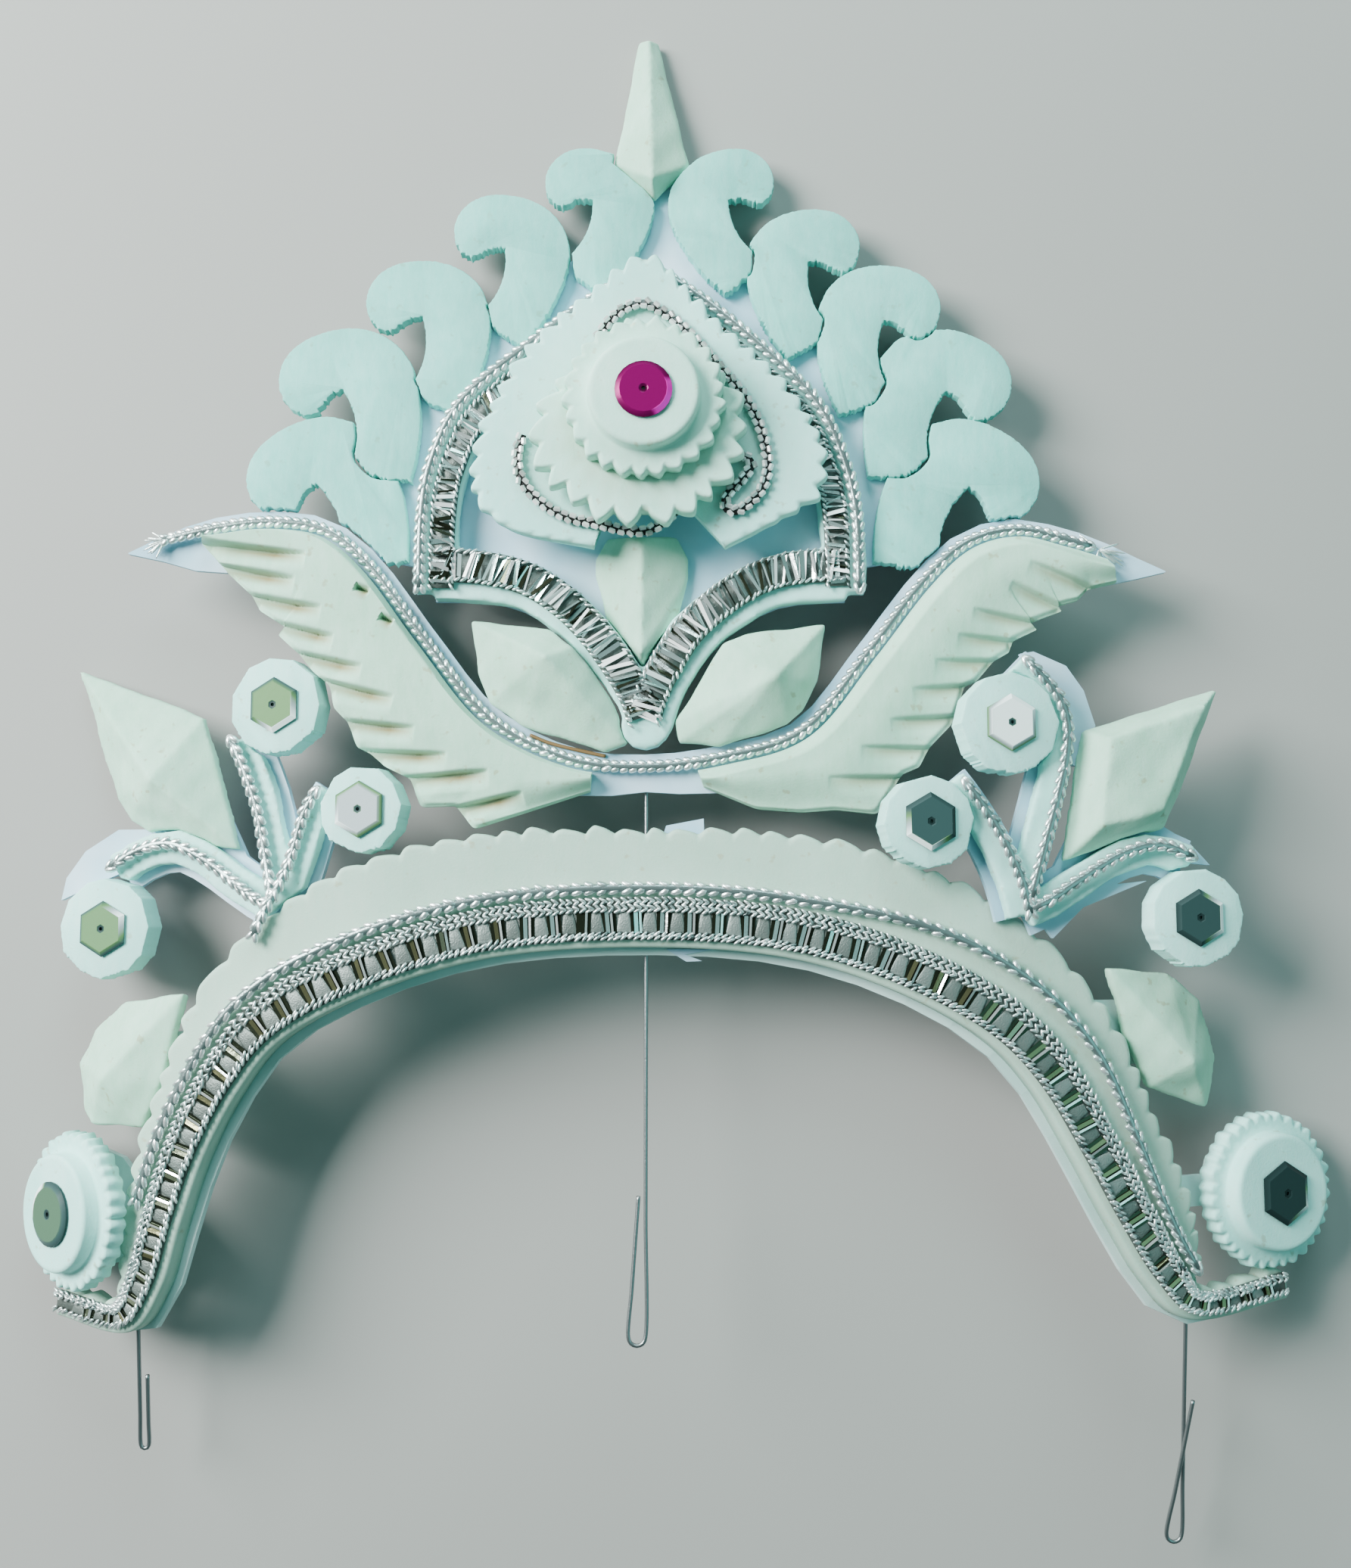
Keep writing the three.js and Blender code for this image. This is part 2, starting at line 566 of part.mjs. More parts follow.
function bandPlace(point, level) {
  const turn = bandTurn(point.x);
  const depth = radiusAt(point.x) * (1 - Math.cos(turn));
  return new THREE.Vector3(point.x + level * Math.sin(turn), point.y, level * Math.cos(turn) - depth);
}

// A group that stands on the bent band at a point, turned with it.
function onBand(side, x, y, level, extraTurn = 0) {
  const group = new THREE.Group();
  const point = new THREE.Vector2(sideSign[side] * x, y);
  group.position.copy(bandPlace(point, level));
  group.rotation.y = bandTurn(point.x) + sideSign[side] * THREE.MathUtils.degToRad(extraTurn);
  group.updateMatrix();
  crown.add(group);
  return group;
}

// Stations of the band from its left end to its right end, with the width of the face at each.
function bandStations(steps) {
  const rows = [
    ...BROW.left.map(({ x, y, face }) => new THREE.Vector3(-x, y, face)).reverse(),
    new THREE.Vector3(BROW_MIDDLE.x, BROW_MIDDLE.y, BROW_MIDDLE.face),
    ...BROW.right.map(({ x, y, face }) => new THREE.Vector3(x, y, face)),
  ];
  const samples = new THREE.CatmullRomCurve3(rows).getSpacedPoints(steps);
  const points = samples.map(vector);
  const normals = normalsOf(points);
  return samples.map(({ z }, i) => ({
    face: z,
    at: (offset) => points[i].clone().addScaledVector(normals[i], offset),
  }));
}

// A strip of the band between two distances from the brow line; above depends on the width of the face.
function bandStrip(steps, below, above, low, high) {
  const stations = bandStations(steps).map(({ face, at }, i) => (
    { first: at(above(face, i)), second: at(below) }
  ));
  return strip(stations, low, high, bandPlace);
}

const ropeOffset = (face) => Math.min(BAND_ROPE.most, BAND_ROPE.base + BAND_ROPE.perFace * face);

function ropeShift({ x }) {
  const { most, from, full, ease, end } = ROPE_SHIFT;
  return most * THREE.MathUtils.smoothstep(x, from, full) * (1 - THREE.MathUtils.smoothstep(x, ease, end));
}

function bentPlate(outline, low, high) {
  const geometry = plate(outline, low, high);
  const { position } = geometry.attributes;
  for (let i = 0; i < position.count; i += 1) {
    const point = bandPlace(new THREE.Vector2(position.getX(i), position.getY(i)), position.getZ(i));
    position.setXYZ(i, point.x, point.y, point.z);
  }
  return geometry;
}

// Tabs of the band card that carry a rosette and a leaf on one side.
function bandTabs(side) {
  const sign = sideSign[side];
  const end = ENDS[side];
  const leaf = SIDE_LEAVES[side];
  const { tabIn, tabOut, tabHalf } = SIDE_LEAF;
  const tongue = ({ x, y }, inwards, outwards, half) => [
    [-inwards, -half], [outwards, -half], [outwards, half], [-inwards, half],
  ].map(([u, v]) => new THREE.Vector2(sign * (x + u), y + v));
  const outlines = [
    ring(END_TAB.radius, FACETS.card, { x: sign * end.x, y: end.y }),
    tongue(end, end.neck, 0, END_TAB.neckHalf),
    tongue(leaf, tabIn, tabOut, tabHalf),
  ];
  return outlines.map((outline) => bentPlate(outline, 0, CARD));
}

function buildBand() {
  const backing = bandStrip(STEPS.bandCard, -BAND_CARD.past, (face) => face - BAND_CARD.inside, 0, CARD);
  addPiece(crown, 'band_card', geometryOf(joined([backing, ...SIDES.flatMap(bandTabs)])), MATERIALS.card);

  const toothEdge = (face, i) => (i % 2 ? face - BAND.toothDepth : face);
  addPiece(crown, 'band_face', bandStrip(2 * BAND.teeth, 0, toothEdge, ON_CARD, FACE_TOP), MATERIALS.pith);

  const ropeRoute = bandStations(STEPS.bandTrim)
    .slice(BAND_ROPE.leftTrim, -BAND_ROPE.rightTrim)
    .map(({ face, at }) => bandPlace(at(ropeOffset(face) + ropeShift(at(0))), TRIM + ROPE_RADIUS));
  addPiece(crown, 'band_rope', tube(ropeRoute, ROPE_RADIUS, STEPS.bandRope), MATERIALS.silver);

  const ladderOuter = (face) => ropeOffset(face) - ROPE_RADIUS - BAND_LADDER.ropeGap;
  const ladder = bandStrip(STEPS.bandTrim, BAND_LADDER.inner, ladderOuter, TRIM, TRIM + LADDER);
  addPiece(crown, 'band_ladder', ladder, MATERIALS.silver);
}

function buildEnd(side) {
  const { x, y, extraTurn, lift } = ENDS[side];
  const group = onBand(side, x, y, lift, extraTurn);
  addPiece(group, `end_rosette_${side}`, rosette(END_ROSETTE, ON_CARD), MATERIALS.pith);
  const level = ON_CARD + END_ROSETTE.rim + END_ROSETTE.disc + GAP;
  addPiece(group, `end_mirror_${side}`, sequin(END_MIRROR_RADIUS, FACETS.mirror, level), MATERIALS.mirror);
}

function buildSideLeaf(side) {
  const { x, y, outline, peak } = SIDE_LEAVES[side];
  const group = onBand(side, x, y, 0);
  const place = ([u, v]) => new THREE.Vector2(sideSign[side] * u, v);
  const summit = { ...place(peak), z: SIDE_LEAF.height };
  const leaf = faceted(outline.map(place), SIDE_LEAF.edge, ON_CARD, [summit]);
  addPiece(group, `side_leaf_${side}`, leaf, MATERIALS.pith);
}

// Line of the wing rope from the left tip to the right tip.
const wingLine = () => [
  ...WING_LINE.slice(1).reverse().map(({ x, left }) => new THREE.Vector2(-x, left)),
  ...WING_LINE.map(({ x, right }) => new THREE.Vector2(x, right)),
];

// The wing card follows the rope, narrow in the middle and pointed at the tips. A margin gives its room.
function wingStrip(margin, low, high) {
  const { above, below, belowMiddle, middleHalf, taper, point } = WING_CARD;
  const points = spaced(wingLine(), STEPS.wingCard);
  const normals = normalsOf(points);
  const reach = points[points.length - 1].x;
  const stations = points.map((middle, i) => {
    const fromMiddle = Math.abs(middle.x);
    const nearTip = Math.min(1, (reach - fromMiddle) / taper + point);
    const lower = THREE.MathUtils.lerp(belowMiddle, below, Math.min(1, fromMiddle / middleHalf));
    return {
      first: middle.clone().addScaledVector(normals[i], above * nearTip + margin),
      second: middle.clone().addScaledVector(normals[i], -lower * nearTip - margin),
    };
  });
  return solidOf(strip(stations, low, high));
}

// A wing: its upper edge follows the rope, its lower edge runs from feather tip to feather tip with a notch
// between, and its front slopes down to the tips. Each point carries the level of the front there as its z.
function buildWing(side) {
  const sign = sideSign[side];
  const rows = WING_EDGE[side];
  const lower = rows.flatMap(({ x, y, notchX, notchY }) => [[x, y], [notchX, notchY]])
    .slice(0, -1)
    .map(([x, y]) => new THREE.Vector2(sign * x, y));
  const [outer, inner] = [rows[0], rows[rows.length - 1]].map(({ x }) => x - WING.endInset);
  const below = along(spaced(wingLine(), STEPS.wingCard), 0, WING.bodyGap)
    .map(({ second }) => second)
    .filter(({ x }) => x * sign > inner && x * sign < outer);
  const upper = spaced(side === 'left' ? below : below.reverse(), lower.length - 1);
  const stations = upper.map((onRope, i) => ({
    first: flatPlace(onRope, ON_CARD + WING.body),
    second: flatPlace(lower[i], ON_CARD + WING.tip),
  }));
  const place = ({ x, y, z }, share) => new THREE.Vector3(x, y, THREE.MathUtils.lerp(ON_CARD, z, share));
  addPiece(crown, `wing_${side}`, strip(stations, 0, 1, place), MATERIALS.pith);
}

function buildWings() {
  addPiece(crown, 'wing_card', geometryOf(wingStrip(0, 0, CARD)), MATERIALS.card);
  const ropeRoute = spaced(wingLine(), STEPS.wingCard)
    .filter(({ x }) => x > -WING.ropeReach.left && x < WING.ropeReach.right)
    .map((point) => flatPlace(point, ON_CARD + ROPE_RADIUS));
  addPiece(crown, 'wing_rope', tube(ropeRoute, ROPE_RADIUS, STEPS.wingRope), MATERIALS.silver);
  SIDES.forEach(buildWing);
}

// The two arches and the V tip of the crest frame. A margin gives the room they need.
function archSolid(margin, low, high) {
  const above = FRAME.above + margin;
  const arches = SIDES.map((side) => {
    const below = (share) => FRAME.corner - FRAME.taper[side] * share + margin;
    const [plus, minus] = side === 'left' ? [above, below] : [below, above];
    const line = spaced(sideOf(ARCH_LINE, side), STEPS.arch);
    return strip(along(line, plus, minus), low, high);
  });
  const tip = plate(ring(FRAME.tip.radius + margin, FACETS.card, FRAME.tip), low, high);
  return joined([...arches, tip]);
}

const ogiveLine = () => spaced(leftToRight(CREST_LINE), STEPS.ogive);

// The whole crest frame: the ogive strip and the arches below it.
function frameSolid(margin, low, high) {
  const ogive = strip(along(ogiveLine(), FRAME.outer + margin, FRAME.inner + margin), low, high);
  return solidOf(ogive).add(archSolid(margin, low, high));
}

function buildCrestPlates() {
  const back = BEHIND - CARD;
  const lower = leftToRight([...ARCH_LINE].reverse()).reverse();
  const sheet = plate([...leftToRight(CREST_CARD), ...lower], back, BEHIND);
  const card = solidOf(sheet).add(archSolid(-GAP, back, BEHIND));
  addPiece(crown, 'crest_card', geometryOf(card), MATERIALS.card);

  const frame = frameSolid(0, CREST_BASE, FRAME_TOP).subtract(wingStrip(GAP, BEHIND, ON_CARD));
  addPiece(crown, 'crest_frame', geometryOf(frame), MATERIALS.pith);
}

function buildCrestTrim() {
  const ropeRoute = ogiveLine().map((point) => flatPlace(point, FRAME_TRIM + ROPE_RADIUS));
  addPiece(crown, 'crest_rope', tube(ropeRoute, ROPE_RADIUS, STEPS.ogive), MATERIALS.silver);

  const { offset, half, archHalf } = CREST_LADDER;
  const ladderTop = FRAME_TRIM + LADDER;
  const ogive = strip(along(ogiveLine(), half - offset, half + offset), FRAME_TRIM, ladderTop);
  const arches = SIDES.map((side) => (
    strip(along(spaced(sideOf(ARCH_LINE, side), STEPS.archLadder), archHalf, archHalf), FRAME_TRIM, ladderTop)
  ));
  addPiece(crown, 'crest_ladder', geometryOf(joined([ogive, ...arches])), MATERIALS.silver);
}

// One scroll, curling to the left, with its foot at the origin.
function scrollOutline() {
  const shape = new THREE.Shape();
  shape.moveTo(0, 0);
  shape.quadraticCurveTo(6.6, 7.6, 7.3, 15.4);
  shape.bezierCurveTo(7.3, 21, 2.6, 25.4, -4.6, 25.2);
  shape.bezierCurveTo(-9.4, 25.1, -12.2, 20.8, -10.9, 17.2);
  shape.bezierCurveTo(-10.3, 15.5, -9, 14.6, -8, 14.8);
  shape.bezierCurveTo(-6.6, 15.2, -5.4, 16.8, -3, 16.2);
  shape.bezierCurveTo(-2.6, 13, -3.4, 9.5, -5.6, 6.8);
  shape.lineTo(-4.6, 3.2);
  return shape.extractPoints(STEPS.scroll).shape;
}

function scrollAt({ side, x, y, lean, height }, margin) {
  const scale = height / SCROLL.drawnHeight;
  const geometry = plate(grown(scrollOutline(), margin), CREST_BASE, CREST_BASE + SCROLL.thick);
  geometry.scale(-side * scale, scale, 1);
  geometry.rotateZ(-side * THREE.MathUtils.degToRad(lean));
  return solidOf(geometry.translate(side * x, y, 0));
}

// Scrolls from the top down; each is cut back from the pieces that are there already.
function buildScrolls(frameRoom) {
  const { foot, left, right, tipLeft, tipRight, edge, ridge, tipRidge } = SPIRE;
  const spireOutline = [foot, right, tipRight, tipLeft, left].map(vector);
  addPiece(crown, 'spire', faceted(spireOutline, edge, CREST_BASE, [ridge, tipRidge]), MATERIALS.pith);

  const spireRoom = solidOf(plate(grown(spireOutline, GAP), BEHIND, CLEAR));
  let taken = wingStrip(GAP, BEHIND, CLEAR).add(frameRoom).add(spireRoom);
  SCROLLS.forEach((row) => {
    const scroll = largestOf(scrollAt(row, 0).subtract(taken));
    addPiece(crown, row.name, geometryOf(scroll), MATERIALS.pith);
    taken = taken.add(scrollAt(row, GAP));
  });
}

function buildStem(frameRoom) {
  const { x, foot, edge, ridge, ridgeTop, ridgeFoot, halves } = STEM;
  const pairs = halves.flatMap(({ y, half }) => [{ x: x - half, y }, { x: x + half, y }]);
  const outline = [{ x, y: foot }, ...pairs];
  const peaks = [{ x, y: ridgeTop, z: ridge }, { x, y: ridgeFoot, z: ridge }];
  const stem = solidOf(faceted(outline, edge, CREST_BASE, peaks)).subtract(frameRoom);
  addPiece(crown, 'crest_stem', geometryOf(stem), MATERIALS.pith);
}

function buildDiamond(side, frameRoom) {
  const { corners, peak } = DIAMONDS[side];
  const block = faceted(corners, DIAMOND.edge, ON_CARD, [{ ...peak, z: DIAMOND.height }]);
  addPiece(crown, `diamond_${side}`, geometryOf(solidOf(block).subtract(frameRoom)), MATERIALS.pith);
}

function buildCrest() {
  const frameRoom = frameSolid(GAP, BEHIND, CLEAR);
  buildCrestPlates();
  buildCrestTrim();
  buildScrolls(frameRoom);
  buildStem(frameRoom);
  SIDES.forEach((side) => buildDiamond(side, frameRoom));
}

// A toothed outline from a table of half widths: down the right side, across the bottom, up the left side.
function toothedOutline(rows, pitch, depth, bottom) {
  const upRight = toothed(sideOf(rows, 'right').reverse(), pitch, depth);
  const downLeft = toothed(sideOf(rows, 'left'), pitch, depth);
  return [...upRight.reverse(), ...bottom, ...downLeft.reverse()];
}

function buildBoss() {
  const pad = (radius, low, high) => plate(ring(radius, FACETS.card, BOSS), low, high);

  const { left, right, y, top } = LEAF_NOTCH;
  const notch = [{ x: right, y }, { x: 0, y: top }, { x: -left, y }].map(vector);
  const leafOutline = toothedOutline(LEAVES, TEETH.leafPitch, TEETH.leafDepth, notch);
  const leafPad = pad(BOSS_PAD.leaves, CREST_BASE, LEAVES_LOW + BOSS_PAD.overlap);
  const leaves = joined([plate(leafOutline, LEAVES_LOW, LEAVES_TOP), leafPad]);
  addPiece(crown, 'boss_leaves', geometryOf(leaves), MATERIALS.pith);

  const petalOutline = toothedOutline(PETALS, TEETH.petalPitch, TEETH.petalDepth, []);
  const petalPad = pad(BOSS_PAD.petals, LEAVES_TOP + GAP, PETALS_LOW + BOSS_PAD.overlap);
  const petals = joined([plate(petalOutline, PETALS_LOW, PETALS_TOP), petalPad]);
  addPiece(crown, 'boss_petals', geometryOf(petals), MATERIALS.pith);

  const low = PETALS_TOP + GAP;
  const bossRosette = rosette(BOSS_ROSETTE, low).translate(BOSS.x, BOSS.y, 0);
  addPiece(crown, 'boss_rosette', bossRosette, MATERIALS.pith);

  const level = low + BOSS_ROSETTE.rim + BOSS_ROSETTE.disc + GAP;
  const bossSequin = sequin(BOSS_SEQUIN_RADIUS, FACETS.bossSequin, level).translate(BOSS.x, BOSS.y, 0);
  addPiece(crown, 'boss_sequin', bossSequin, MATERIALS.magenta);

  const beadRoute = BEAD_ROUTE.map((point) => flatPlace(point, LEAVES_TOP + GAP + BEAD_RADIUS));
  addPiece(crown, 'bead_cord', tubeThrough(beadRoute, BEAD_RADIUS), MATERIALS.silver);
}

function buildFloret(side) {
  const { x, y, level, discs, stems, rhomb, peaks, cards } = FLORETS[side];
  const sign = sideSign[side];
  const group = onBand(side, x, y, level);
  const place = ([u, v]) => new THREE.Vector2(sign * u, v);
  const centre = ({ u, v }) => place([u, v]);
  const stemStrip = (margin, low, high) => joined(stems.map(({ plus, minus, route }) => {
    const [leftHand, rightHand] = side === 'left' ? [minus, plus] : [plus, minus];
    const line = spaced(route.map(place), STEPS.floret);
    return strip(along(line, leftHand + margin, rightHand + margin), low, high);
  }));

  const back = BEHIND - CARD;
  const backings = [
    ...cards.map((outline) => plate(outline.map(place), back, BEHIND)),
    ...discs.map((disc) => (
      plate(ring(disc.radius - FLORET.cardInset, FACETS.card, centre(disc)), back, BEHIND)
    )),
  ];
  const card = stemStrip(FLORET.cardPast, back, BEHIND).add(joined(backings));
  addPiece(group, `floret_card_${side}`, geometryOf(card), MATERIALS.card);

  const discRoom = joined(discs.map((disc) => (
    plate(ring(disc.radius + GAP, FACETS.room, centre(disc)), BEHIND, CLEAR)
  )));
  const bandBlock = bandStrip(STEPS.bandRoom, -BAND_CARD.past - GAP, (face) => face + GAP, BEHIND, TRIM);
  const room = discRoom.add(solidOf(bandBlock.applyMatrix4(group.matrix.clone().invert())));
  const stemSolid = largestOf(stemStrip(0, 0, FLORET.stem).subtract(room));
  addPiece(group, `floret_stems_${side}`, geometryOf(stemSolid), MATERIALS.pith);

  const ropeLevel = FLORET.stem + GAP + ROPE_RADIUS;
  const ropes = joined(stems.map(({ route }) => {
    const points = route.map(([u, v, rise]) => new THREE.Vector3(sign * u, v, ropeLevel + rise));
    return tube(points, ROPE_RADIUS, STEPS.floretRope);
  }));
  addPiece(group, `floret_rope_${side}`, geometryOf(largestOf(ropes.subtract(room))), MATERIALS.silver);

  const summits = peaks.map(([u, v, z]) => ({ x: sign * u, y: v, z }));
  const block = solidOf(faceted(rhomb.map(place), FLORET.rhombEdge, 0, summits));
  const stemRoom = stemStrip(GAP, BEHIND, CLEAR);
  const rhombSolid = largestOf(block.subtract(stemRoom).subtract(discRoom));
  addPiece(group, `floret_rhomb_${side}`, geometryOf(rhombSolid), MATERIALS.pith);

  discs.forEach((disc) => {
    const { x: discX, y: discY } = centre(disc);
    const { radius } = disc;
    const shoulder = FLORET.disc - FLORET.discBevel;
    const rim = radius - FLORET.discBevel;
    const profile = [[0, 0], [radius, 0], [radius, shoulder], [rim, FLORET.disc], [0, FLORET.disc]];
    const roundel = turned(profile, FACETS.roundel, 0).translate(discX, discY, 0);
    addPiece(group, `floret_disc_${side}_${disc.name}`, roundel, MATERIALS.pith);
    const mirror = sequin(MIRROR_RADIUS, FACETS.mirror, FLORET.disc + GAP).translate(discX, discY, 0);
    addPiece(group, `floret_mirror_${side}_${disc.name}`, mirror, MATERIALS.mirror);
  });
}

function buildPin({ name, x, top, bottom, end, turn, across, drop, lift }) {
  const start = bandPlace(new THREE.Vector2(x, top), BEHIND - WIRE_RADIUS);
  const point = (shift, y, rise = 0) => {
    const fallen = (drop * (top - y)) / (top - bottom);
    return new THREE.Vector3(start.x + shift, y, start.z - fallen + rise);
  };
  const leg = Array.from({ length: PIN_STEPS.leg }, (_, i) => (
    point(0, THREE.MathUtils.lerp(top, bottom, i / (PIN_STEPS.leg - 1)))
  ));
  const eye = Array.from({ length: PIN_STEPS.eye - 1 }, (_, i) => {
    const angle = (Math.PI * (i + 1)) / PIN_STEPS.eye;
    return point(turn - turn * Math.cos(angle), bottom - Math.abs(turn) * Math.sin(angle));
  });
  const free = Array.from({ length: PIN_STEPS.free + 1 }, (_, i) => {
    const share = i / PIN_STEPS.free;
    return point(2 * turn + across * share, THREE.MathUtils.lerp(bottom, end, share), lift * share);
  });
  addPiece(crown, name, tubeThrough([...leg, ...eye, ...free], WIRE_RADIUS), MATERIALS.wire);
}

function worldPoints(name) {
  const mesh = crown.getObjectByName(name);
  const { position } = mesh.geometry.attributes;
  return Array.from({ length: position.count }, (_, i) => (
    new THREE.Vector3().fromBufferAttribute(position, i).applyMatrix4(mesh.matrixWorld)
  ));
}

// Lays the crown on its back: it tips until the crest tip and the band ends meet the surface together.
function layDown() {
  crown.updateMatrixWorld(true);
  const back = BEHIND - CARD;
  const tip = worldPoints('crest_card').reduce((best, point) => (point.y > best.y ? point : best));
  const slopes = worldPoints('band_card').map(({ y, z }) => (back - z) / (tip.y - y));
  crown.rotation.x = -Math.atan(Math.max(...slopes));
  crown.updateMatrixWorld(true);
  const box = new THREE.Box3().setFromObject(crown, true);
  const centre = box.getCenter(new THREE.Vector3());
  crown.position.set(-centre.x, -centre.y, -box.min.z);
}

buildBand();
SIDES.forEach(buildEnd);
SIDES.forEach(buildSideLeaf);
buildWings();
buildCrest();
buildBoss();
SIDES.forEach(buildFloret);
PINS.forEach(buildPin);
layDown();

const part = new THREE.Group();
part.add(crown);

export default part;
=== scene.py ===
# A bridal crown of carved pith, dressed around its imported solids.
# Shapes are drawn in the crown's own axes: x across, y up the crown, z out of its face. All sizes are metres,
# and level 0 is the back of the wing card and of the band card.

import json
import math

import bmesh
import bpy
import numpy as np
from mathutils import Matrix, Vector
from mathutils.bvhtree import BVHTree


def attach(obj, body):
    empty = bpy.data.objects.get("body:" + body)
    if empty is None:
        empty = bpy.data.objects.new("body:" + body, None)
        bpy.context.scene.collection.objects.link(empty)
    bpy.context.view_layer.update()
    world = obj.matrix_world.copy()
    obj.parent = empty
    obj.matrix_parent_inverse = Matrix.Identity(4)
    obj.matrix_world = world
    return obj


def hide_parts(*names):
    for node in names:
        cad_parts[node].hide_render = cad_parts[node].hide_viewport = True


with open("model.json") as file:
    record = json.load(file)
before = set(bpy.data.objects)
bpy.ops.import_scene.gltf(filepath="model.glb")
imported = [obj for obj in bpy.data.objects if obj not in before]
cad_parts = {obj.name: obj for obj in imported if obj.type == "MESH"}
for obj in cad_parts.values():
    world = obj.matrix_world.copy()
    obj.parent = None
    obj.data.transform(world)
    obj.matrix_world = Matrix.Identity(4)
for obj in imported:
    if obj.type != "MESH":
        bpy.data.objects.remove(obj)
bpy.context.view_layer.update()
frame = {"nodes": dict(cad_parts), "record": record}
NODES = frame["nodes"]
SIDES = ("left", "right")
SIGN = {"left": -1, "right": 1}
draws = np.random.default_rng(11)


def table(columns, *rows):
    """Rows of values under the names of their columns; a short row leaves its last columns out."""
    names = columns.split()
    return [dict(zip(names, row)) for row in rows]


# Levels of the layers over the back of the wing card and band card.
ON_CARD = 0.0013
TRIM = 0.0046
FRAME_TRIM = 0.0033
LEAVES_TOP = 0.0075
GAP = 0.0003

# Where the record's mount lies on the crown.
MOUNT_AT = {"y": 0.140, "z": -0.0013}

# Bend of the band behind its flat middle.
BAND = {"flat": 0.035, "sag": 0.020, "left": 0.098, "right": 0.106}
BAND_ROPE = {"most": 0.009, "base": 0.0046, "per_face": 0.25, "left_trim": 0.136, "right_trim": 0.091}
# On the right the rope runs further from the ladder between these places, and eases in and out.
ROPE_SHIFT = {"most": 0.0022, "from": 0.020, "full": 0.045, "ease": 0.058, "end": 0.073}
BAND_LADDER = {"inner": 0.0012, "rope_gap": 0.00145, "window_low": 0.16, "window_high": 0.67}

# Inner edge of the band from its left end to its right end, with the width of the face there.
BROW = table(
    "x y face",
    (-0.0915, 0.0010, 0.0050), (-0.0780, 0.0002, 0.0054), (-0.0730, 0.0070, 0.0086),
    (-0.0700, 0.0170, 0.0104), (-0.0662, 0.0280, 0.0116), (-0.0608, 0.0380, 0.0134),
    (-0.0550, 0.0450, 0.0160), (-0.0410, 0.0526, 0.0194), (-0.0240, 0.0576, 0.0194),
    (0.0000, 0.0593, 0.0184), (0.0220, 0.0576, 0.0192), (0.0380, 0.0526, 0.0196), (0.0514, 0.0450, 0.0182),
    (0.0580, 0.0380, 0.0168), (0.0640, 0.0280, 0.0152), (0.0700, 0.0170, 0.0142), (0.0756, 0.0080, 0.0112),
    (0.0820, 0.0022, 0.0060), (0.1000, 0.0034, 0.0054),
)

# Line of the wing rope from the middle outwards: distance from the middle, then its height on each side.
WING_LINE = table(
    "x left right",
    (0.0000, 0.0871, 0.0871), (0.0120, 0.0883, 0.0886), (0.0245, 0.0948, 0.0928), (0.0345, 0.1070, 0.1048),
    (0.0430, 0.1184, 0.1158), (0.0500, 0.1242, 0.1223), (0.0580, 0.1257, 0.1245), (0.0660, 0.1250, 0.1228),
    (0.0760, 0.1227, 0.1197), (0.0816, 0.1210, 0.1181),
)
WING_ROPE_REACH = {"left": 0.0755, "right": 0.071}
WING = {
    "gap": 0.00135, "inset": 0.001, "body": 0.0037, "tip": 0.0017, "least": 0.0004, "slope_from": 0.3,
    "slope_run": 0.7, "bevel": {"left": 0.0007, "right": 0.0020}, "rope_side": 0.5,
    "round": 0.35, "round_from": 0.94, "round_run": 0.06, "soften": 8, "sharp": 50,
}

# Lower edge of each wing from the outer tip to the middle: every feather tip and the notch after it.
WING_EDGE = {
    "left": table(
        "x y notch_x notch_y",
        (0.0698, 0.1223, 0.0666, 0.1188), (0.0655, 0.1175, 0.0617, 0.1140),
        (0.0604, 0.1116, 0.0565, 0.1091), (0.0575, 0.1078, 0.0541, 0.1047),
        (0.0520, 0.1021, 0.0493, 0.0998), (0.0484, 0.0962, 0.0464, 0.0941),
        (0.0447, 0.0901, 0.0427, 0.0891), (0.0404, 0.0871, 0.0365, 0.0852),
        (0.0347, 0.0808, 0.0294, 0.0810), (0.0265, 0.0774, 0.0184, 0.0800), (0.0086, 0.0832),
    ),
    "right": table(
        "x y notch_x notch_y",
        (0.0734, 0.1160, 0.0691, 0.1150), (0.0674, 0.1132, 0.0640, 0.1123),
        (0.0650, 0.1116, 0.0590, 0.1093), (0.0611, 0.1087, 0.0572, 0.1068),
        (0.0565, 0.1050, 0.0541, 0.1036), (0.0513, 0.1004, 0.0495, 0.0996),
        (0.0475, 0.0938, 0.0440, 0.0902), (0.0422, 0.0870, 0.0396, 0.0859),
        (0.0357, 0.0797, 0.0293, 0.0804), (0.0241, 0.0800, 0.0171, 0.0805), (0.0089, 0.0839),
    ),
}

